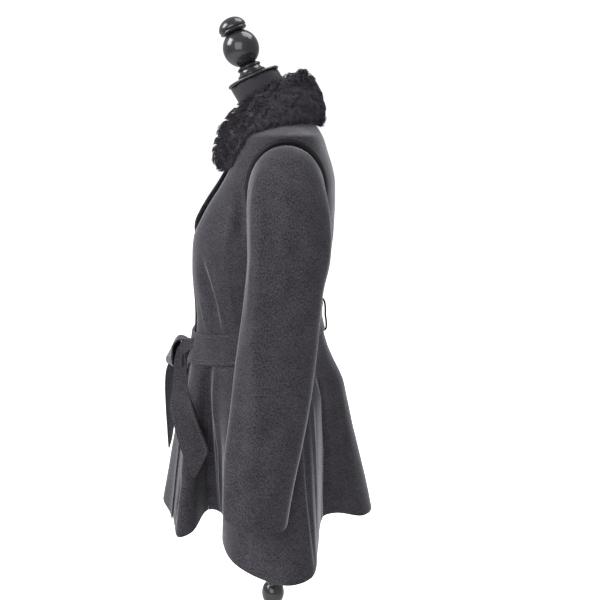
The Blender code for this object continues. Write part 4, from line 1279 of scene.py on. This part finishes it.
def strap_rows(table):
    """Both edges of a strap at four even steps to a row of its table."""
    columns = curves(table, STRAP_COLUMNS, range(len(table))).values()
    edges = []
    for k in range(4 * (len(table) - 1) + 1):
        found = [column(0.25 * k) for column in columns]
        edges.append((Vector(found[:3]), Vector(found[3:])))
    return edges


def strap_edges(root, rows, tip):
    """Edges of a hanging belt end from its root, at even steps down to its slanted point."""
    edges = strap_rows([*root, *((fx, fy, z, bx, by, z) for z, fx, fy, bx, by in rows)])
    front, back = edges[-1]
    for k in range(1, 5):
        edges.append((front.lerp(Vector(tip[0]), 0.25 * k), back.lerp(Vector(tip[1]), 0.25 * k)))
    return edges


def size(name, description, default, least, most):
    """A length that can be changed."""
    return bpy.props.FloatProperty(
        name=name, description=description, default=default, min=least, max=most, unit="LENGTH",
    )


def colour(name, description, default):
    """A colour that can be changed."""
    return bpy.props.FloatVectorProperty(
        name=name, description=description, default=default, size=3, min=0.0, max=1.0,
        subtype="COLOR",
    )


class CoatSizes(bpy.types.PropertyGroup):
    """Sizes of the coat that can be changed."""

    cloth: size("Cloth thickness", "Thickness of the wool cloth", 0.0025, 0.001, 0.004)
    belt: size("Belt thickness", "Thickness of the doubled belt", 0.003, 0.001, 0.004)
    unevenness: size(
        "Unevenness", "How far the cloth wanders from a perfect surface", 0.001, 0.0, 0.003
    )
    stitch: size("Stitch length", "Length of a stitch on the belt's edges", 0.0042, 0.001, 0.008)
    fur_length: size("Fur length", "Length of a hair of the collar", 0.018, 0.005, 0.05)
    fur_depth: size(
        "Fur depth", "How far the fur's roots lie below its surface", 0.006, 0.001, 0.015
    )
    hair: size("Hair radius", "Radius of a tuft of hairs at its root", 0.0005, 0.0002, 0.002)
    locks: bpy.props.IntProperty(
        name="Hairs", description="Tufts of hair on each half of the collar",
        default=6900, min=100, max=7600,
    )


class CoatColours(bpy.types.PropertyGroup):
    """Colours of the coat and its form."""

    wool_dark: colour(
        "Wool, dark fibres", "Darkest fibres of the heather wool", (0.0135, 0.0118, 0.016)
    )
    wool_light: colour(
        "Wool, light fibres", "Lightest fibres of the heather wool", (0.083, 0.0775, 0.09)
    )
    trim: colour("Armhole band", "Black band round each armhole", (0.0165, 0.0145, 0.0185))
    fur: colour("Fur", "Fur of the collar", (0.066, 0.06, 0.073))
    cover: colour("Form cover", "Jersey cover of the dress form", (0.026, 0.023, 0.029))
    lacquer: colour("Lacquer", "Gloss lacquer of the turned wood", (0.024, 0.022, 0.026))
    floor: colour("Floor", "Pale studio floor", (0.9, 0.9, 0.9))


class COAT_OT_form(bpy.types.Operator):
    """Make the jersey-covered dress form"""

    bl_idname = "coat.form"
    bl_label = "Dress form"

    def execute(self, context):
        piece = smooth_copy("form_torso", "jersey_form", levels=2)
        finished(piece, "form_cover", cover(), "form_torso")
        return {"FINISHED"}


class COAT_OT_finial(bpy.types.Operator):
    """Turn the neck cap and the finial"""

    bl_idname = "coat.finial"
    bl_label = "Neck cap and finial"

    def execute(self, context):
        neck = math.asin(BALL_NECK_RADIUS / BALL_RADIUS)
        ball = []
        for k in range(BALL_STEPS + 1):
            polar = math.pi - neck - (math.pi - 2.0 * neck) * k / BALL_STEPS
            rise = BALL_RADIUS * (math.cos(neck) + math.cos(polar))
            ball.append((rise, BALL_RADIUS * math.sin(polar)))
        height = SEAM_GAP
        for name, node, profile in (
            ("turned_neck_cap", "form_neck_cap", CAP_PROFILE),
            ("turned_collar", "form_finial_collar", COLLAR_PROFILE),
            ("turned_ball", "form_finial_ball", ball),
            ("turned_top", "form_finial_top", TOP_PROFILE),
        ):
            finished(turned(name, profile, neck_place(height)), "black_wood", lacquer(), node)
            height += profile[-1][0] + SEAM_GAP
        return {"FINISHED"}


class COAT_OT_stand(bpy.types.Operator):
    """Turn the stand's base, pole and knob"""

    bl_idname = "coat.stand"
    bl_label = "Stand"

    def execute(self, context):
        upright = Matrix.Identity(4)
        low, knob_low = BASE_TOP + SEAM_GAP, KNOB_Z - KNOB_HALF
        lower = (
            (low, 0.0255), (low + 0.002, 0.026), (low + 0.006, 0.0256), (low + 0.011, 0.024),
            (low + 0.015, 0.019), (low + 0.019, 0.0155), (low + 0.026, 0.0138),
            (low + 0.06, 0.0128), (knob_low - SEAM_GAP, POLE_RADIUS),
        )
        knob = []
        for k in range(KNOB_STEPS + 1):
            a = math.pi * k / KNOB_STEPS
            radius = max(POLE_RADIUS, KNOB_RADIUS * math.sin(a) ** 0.8)
            knob.append((KNOB_Z - KNOB_HALF * math.cos(a), radius))
        top = POLE_TOP - SEAM_GAP
        upper = (
            (KNOB_Z + KNOB_HALF + SEAM_GAP, POLE_RADIUS), (top - 0.05, POLE_RADIUS),
            (top - 0.022, 0.015), (top - 0.006, 0.0212), (top, 0.022),
        )
        for name, node, profile in (
            ("turned_base", "stand_base", BASE_PROFILE),
            ("turned_pole_low", "stand_pole_low", lower),
            ("turned_knob", "stand_knob", knob),
            ("turned_pole", "stand_pole", upper),
        ):
            finished(turned(name, profile, upright), "black_wood", lacquer(), node)
        return {"FINISHED"}


class COAT_OT_bodice(bpy.types.Operator):
    """Make the seven wool pieces of the bodice"""

    bl_idname = "coat.bodice"
    bl_label = "Bodice"

    def execute(self, context):
        guide = guide_of(outline, range(-180, 180, 3), [0.955 + 0.009 * k for k in range(50)])
        for name, levels, left, right, columns, inset in bodice_pieces():
            grid = panel_grid(outline, levels, left, right, columns, inset, bodice_height)
            cloth(
                "wool_" + name, name, grid, wool(), ["jersey_form"], inside=body_axis(grid),
                levels=2, creases="bodice", guide=guide,
            )
        return {"FINISHED"}


class COAT_OT_skirt(bpy.types.Operator):
    """Make the seven flared wool pieces of the skirt"""

    bl_idname = "coat.skirt"
    bl_label = "Skirt"

    def execute(self, context):
        gap = 0.5 * CLOTH_SEAM / (WAIST_Z - HEM_FOLDS[0][3])
        levels = [-(gap + (1.0 - gap) * k / SKIRT_ROWS) for k in range(SKIRT_ROWS, -1, -1)]
        front, back = SEAMS[0][1], SEAMS[0][2]
        ups = [-k / SKIRT_ROWS for k in range(SKIRT_ROWS + 1)]
        guide = guide_of(skirt_surface, range(-180, 180, 2), ups)
        for name, start, end, inset in (
            ("skirt_front_L", SKIRT_LEFT_TURN, front, skirt_inset),
            ("skirt_side_front_L", front, SIDE_SEAM, None),
            ("skirt_side_back_L", SIDE_SEAM, back, None),
            ("skirt_back", back, 360.0 - back, None),
            ("skirt_side_back_R", 360.0 - back, 360.0 - SIDE_SEAM, None),
            ("skirt_side_front_R", -SIDE_SEAM, -front, None),
            ("skirt_front_R", -front, SKIRT_RIGHT_TURN, None),
        ):
            columns = round((end - start) / SKIRT_STEP)
            grid = panel_grid(
                skirt_surface, levels, skirt_edge(start, 1), skirt_edge(end, -1), columns, inset
            )
            cloth(
                "wool_" + name, name, grid, wool(),
                ["wool_bodice_back", "wool_bodice_front_L", "wool_bodice_front_R"],
                inside=body_axis(grid), creases="skirt", guide=guide,
            )
        return {"FINISHED"}


class COAT_OT_sleeves(bpy.types.Operator):
    """Make the two-piece sleeves"""

    bl_idname = "coat.sleeves"
    bl_label = "Sleeves"

    def execute(self, context):
        guide = guide_of(
            lambda angle, row: sleeve_point(angle, 25.0 * row),
            range(-180, 180, 6), [0.01 * k for k in range(53)], (1, -1),
        )
        rows = [-0.99, -0.7, -0.35] + [0.5 * k for k in range(2 * len(SLEEVE) - 1)]
        halves = (
            ("top", lambda row: FOREARM_SEAM + SLEEVE_SEAM, lambda row: hindarm(row) - SLEEVE_SEAM),
            (
                "under", lambda row: hindarm(row) + SLEEVE_SEAM,
                lambda row: 360.0 + FOREARM_SEAM - SLEEVE_SEAM,
            ),
        )
        for side, mark in SIDES:
            inside = [sided(sleeve_centre(row), side) for row in rows]
            for half, start, end in halves:
                left = panel_grid(sleeve_point, rows, start, end, SLEEVE_STEPS)
                grid = [[sided(point, side) for point in line] for line in left]
                name = f"sleeve_{half}_{mark}"
                cloth(
                    "wool_" + name, name, grid, wool(),
                    [f"wool_bodice_side_front_{mark}", f"wool_bodice_side_back_{mark}"],
                    inside=inside, levels=2, creases=f"sleeve_{mark}", guide=guide,
                )
        return {"FINISHED"}


class COAT_OT_armhole_bands(bpy.types.Operator):
    """Make the black bands in the armhole seams"""

    bl_idname = "coat.armhole_bands"
    bl_label = "Armhole bands"

    def execute(self, context):
        rows, steps = 7, 72
        for side, mark in SIDES:
            grid = []
            for k in range(rows):
                t = k / (rows - 1.0)
                share = BAND_OUTER + (BAND_INNER - BAND_OUTER) * t
                off = BAND_PROUD * (0.4 + 0.6 * math.sin(math.pi * t))
                grid.append([
                    sided(armhole_point(share, math.tau * j / steps, off), side)
                    for j in range(steps)
                ])
            cloth(
                f"band_armhole_{mark}", f"armhole_band_{mark}", grid, trim(),
                [f"wool_bodice_side_front_{mark}", f"wool_bodice_side_back_{mark}"], "black_trim",
                inside=[Vector((side * 0.05, ARMHOLE_Y, ARMHOLE_Z))] * rows, ring=True,
                thickness=0.003,
            )
        return {"FINISHED"}


class COAT_OT_fur_collar(bpy.types.Operator):
    """Make the fur collar: a soft core and curled locks on both halves"""

    bl_idname = "coat.fur_collar"
    bl_label = "Fur collar"

    def execute(self, context):
        core = smooth_copy("fur_collar", "fur_core", levels=1, shrink=sizes().fur_depth * 0.85)
        finished(core, "black_fur", fur("black_under_fur"), "fur_collar")
        for side, mark in SIDES:
            locks = fur_locks(f"fur_locks_{mark}", side, sizes().locks, 11 + side)
            finished(locks, "black_fur", fur(), "fur_collar")
        return {"FINISHED"}


class COAT_OT_belt(bpy.types.Operator):
    """Make the belt round the waist and its thread carrier"""

    bl_idname = "coat.belt"
    bl_label = "Belt"

    def execute(self, context):
        steps, rows = 120, 7
        grid = []
        for i in range(rows):
            height = BELT_WIDTH * (i / (rows - 1.0) - 0.5)
            off = BELT_CLEAR + sizes().belt
            turns = [-180.0 + 360.0 * k / steps for k in range(steps)]
            grid.append([belt_point(turn, height, off)[0] for turn in turns])
        cloth(
            "wool_belt", "belt_band", grid, wool(),
            ["wool_bodice_back", "wool_skirt_back", "wool_bodice_front_R"],
            inside=body_axis(grid), ring=True, thickness=sizes().belt, held="stretched",
        )
        self.carrier()
        # Stitch rows in the light thread: real stitching, and a painted highlight along the belt's
        # edges.
        runs = []
        for height in BELT_STITCHES:
            spots = [belt_point(-180.0 + 1.5 * k, height, off) for k in range(241)]
            runs.append(([point for point, _ in spots], [away for _, away in spots]))
        stitches("belt_stitches_and_rim_highlight", runs, thread())
        return {"FINISHED"}

    def carrier(self):
        """Three strands twisted into the carrier that stands behind the belt."""
        middle, steps = waist_z(180.0), 96
        centres = []
        for k in range(steps + 1):
            a = math.pi * (k / steps - 0.5)
            z = middle + CARRIER_HALF_HEIGHT * math.sin(a)
            out = coat_surface(180.0, z).y + STRAND_RADIUS + CARRIER_BULGE * abs(math.cos(a)) ** 0.8
            centres.append(Vector((0.0, out, z)))
        strands, side_way = [], Vector((1.0, 0.0, 0.0))
        for strand in range(3):
            grid, inside = [], []
            for k, centre in enumerate(centres):
                along = (centres[min(steps, k + 1)] - centres[max(0, k - 1)]).normalized()
                third = along.cross(side_way)

                def round_it(middle, a):
                    return middle + STRAND_RADIUS * (side_way * math.cos(a) + third * math.sin(a))

                core = round_it(centre, math.tau * (strand / 3.0 + k / 9.0))
                inside.append(core)
                grid.append([round_it(core, math.tau * j / 6.0) for j in range(6)])
            name = f"carrier_strand_{strand}"
            strands.append(new_piece(name, grid_mesh(name, grid, True, inside)))
        only(strands[0])
        for strand in strands:
            strand.select_set(True)
        bpy.ops.object.join()
        strands[0].name = strands[0].data.name = "thread_carrier"
        finished(strands[0], "charcoal_wool", braid(), "belt_thread_loop")


class COAT_OT_bow(bpy.types.Operator):
    """Make the tied bow: knot, loop and the two hanging ends"""

    bl_idname = "coat.bow"
    bl_label = "Bow"

    def execute(self, context):
        self.knot()
        self.loop()
        runs = []
        for name, root, rows, tip in (
            ("belt_end_near", NEAR_ROOT, BELT_END_NEAR, NEAR_TIP),
            ("belt_end_far", (), BELT_END_FAR, FAR_TIP),
        ):
            edges = strap_edges(root, rows, tip)
            grid = [[front.lerp(back, k / 18.0) for k in range(19)] for front, back in edges]
            cloth(
                "wool_" + name, name, grid, wool(), ["wool_knot"], levels=0, creases="bow",
                thickness=sizes().belt, offset=0.0,
            )
            runs.extend(self.edge_stitches_and_rim_highlight(edges))
        # Edge stitches in the light thread: stitching and a painted highlight, the light rim along
        # the straps' edges.
        stitches("bow_stitches_and_rim_highlight", runs, thread())
        return {"FINISHED"}

    def knot(self):
        """The knot's wrap, a squat rounded body with soft folds."""
        lean = Matrix.Rotation(math.radians(-KNOT_TILT), 3, "X")
        bpy.ops.object.select_all(action="DESELECT")
        bpy.ops.mesh.primitive_uv_sphere_add(segments=40, ring_count=24, radius=1.0)
        piece = bpy.context.active_object
        piece.name = piece.data.name = "wool_knot"
        for vertex in piece.data.vertices:
            p = vertex.co.copy()
            flat = math.hypot(p.x, p.y)
            wide = flat ** 0.6 / max(flat, 1e-6)
            fold = 1.0 - 0.1 * math.exp(-((p.z - 0.25 + 0.5 * p.x) / 0.16) ** 2)
            fold -= 0.07 * math.exp(-((p.z + 0.35 + 0.3 * p.x) / 0.13) ** 2)
            wide *= fold
            half_x, half_y, half_z = KNOT_HALF
            shaped = Vector((half_x * p.x * wide, half_y * p.y * wide, half_z * p.z))
            vertex.co = Vector(KNOT_CENTRE) + lean @ shaped
        for corner in piece.data.uv_layers.active.data:
            corner.uv = (0.12 * corner.uv.x, 0.05 * corner.uv.y)
        finished(piece, "charcoal_wool", wool(), "belt_knot")

    def loop(self):
        """The bow's loop, a strap that droops in front and turns back under itself."""
        grid = [[far.lerp(near, j / 10.0) for j in range(11)] for far, near in strap_rows(BOW_LOOP)]
        cloth(
            "wool_bow_loop", "belt_bow_loop", grid, wool(), ["wool_knot"],
            thickness=sizes().belt, offset=0.0,
        )

    def edge_stitches_and_rim_highlight(self, edges):
        """Stitch runs just inside both edges of a strap, on both faces; in the light thread they
        paint a highlight, the light rim along the strap's edges.
        """
        runs = []
        for sign in (1.0, -1.0):
            for share in (0.09, 0.91):
                run, ups = [], []
                for front, back in edges:
                    across = back - front
                    up = across.cross(Vector((0.0, 0.0, 1.0))).normalized() * sign
                    run.append(front + across * share + up * 0.5 * sizes().belt)
                    ups.append(up)
                runs.append((run, ups))
        return runs


class COAT_OT_stage(bpy.types.Operator):
    """Make the pale floor, the soft studio light and the camera"""

    bl_idname = "coat.stage"
    bl_label = "Stage"

    def execute(self, context):
        bpy.ops.object.select_all(action="DESELECT")
        bpy.ops.mesh.primitive_plane_add(size=30.0, location=(0.0, 0.0, -0.0004))
        floor = context.active_object
        floor.name = floor.data.name = "studio_floor"
        bpy.ops.object.transform_apply(location=True)
        floor.data.materials.append(pale_floor())
        world = context.scene.world or bpy.data.worlds.new("studio")
        context.scene.world = world
        world.use_nodes = True
        background = world.node_tree.nodes["Background"]
        background.inputs["Color"].default_value = (1.0, 1.0, 1.0, 1.0)
        camera_glow(world.node_tree, background.inputs["Strength"], 0.7, 0.4)
        for name, place, power, width in LIGHTS:
            bpy.ops.object.light_add(type="AREA", location=place)
            light = context.active_object
            light.name = name
            light.data.energy = power
            light.data.size = width
            aim = Vector(LIGHTS_AIM) - Vector(place)
            light.rotation_euler = aim.to_track_quat("-Z", "Y").to_euler()
        level, from_left = math.radians(90.0 - CAMERA_PITCH), math.radians(90.0)
        bpy.ops.object.camera_add(location=CAMERA_PLACE, rotation=(level, 0.0, from_left))
        camera = context.active_object
        camera.name = "photo_camera"
        camera.data.lens = CAMERA_LENS
        camera.data.sensor_width = 36.0
        context.scene.camera = camera
        context.scene.view_settings.view_transform = "Standard"
        return {"FINISHED"}


STEPS = (
    COAT_OT_form, COAT_OT_finial, COAT_OT_stand, COAT_OT_bodice, COAT_OT_skirt, COAT_OT_sleeves,
    COAT_OT_armhole_bands, COAT_OT_fur_collar, COAT_OT_belt, COAT_OT_bow, COAT_OT_stage,
)


class COAT_PT_panel(bpy.types.Panel):
    """Buttons for each group of pieces, with the sizes and colours that they use"""

    bl_idname = "COAT_PT_panel"
    bl_label = "Belted coat"
    bl_space_type = "VIEW_3D"
    bl_region_type = "UI"
    bl_category = "Coat"

    def draw(self, context):
        for step in STEPS:
            self.layout.operator(step.bl_idname)
        for group in (context.scene.coat_sizes, context.scene.coat_colours):
            box = self.layout.box()
            for name in group.__annotations__:
                box.prop(group, name)


CLASSES = (CoatSizes, CoatColours, *STEPS, COAT_PT_panel)


def register():
    for made in CLASSES:
        bpy.utils.register_class(made)
    bpy.types.Scene.coat_sizes = bpy.props.PointerProperty(type=CoatSizes)
    bpy.types.Scene.coat_colours = bpy.props.PointerProperty(type=CoatColours)


def unregister():
    del bpy.types.Scene.coat_colours
    del bpy.types.Scene.coat_sizes
    for made in reversed(CLASSES):
        bpy.utils.unregister_class(made)


def main():
    """Make every piece in order."""
    register()
    bpy.ops.coat.form()
    bpy.ops.coat.finial()
    bpy.ops.coat.stand()
    bpy.ops.coat.bodice()
    bpy.ops.coat.skirt()
    bpy.ops.coat.sleeves()
    bpy.ops.coat.armhole_bands()
    bpy.ops.coat.fur_collar()
    bpy.ops.coat.belt()
    bpy.ops.coat.bow()
    bpy.ops.coat.stage()


if __name__ == "__main__":
    main()
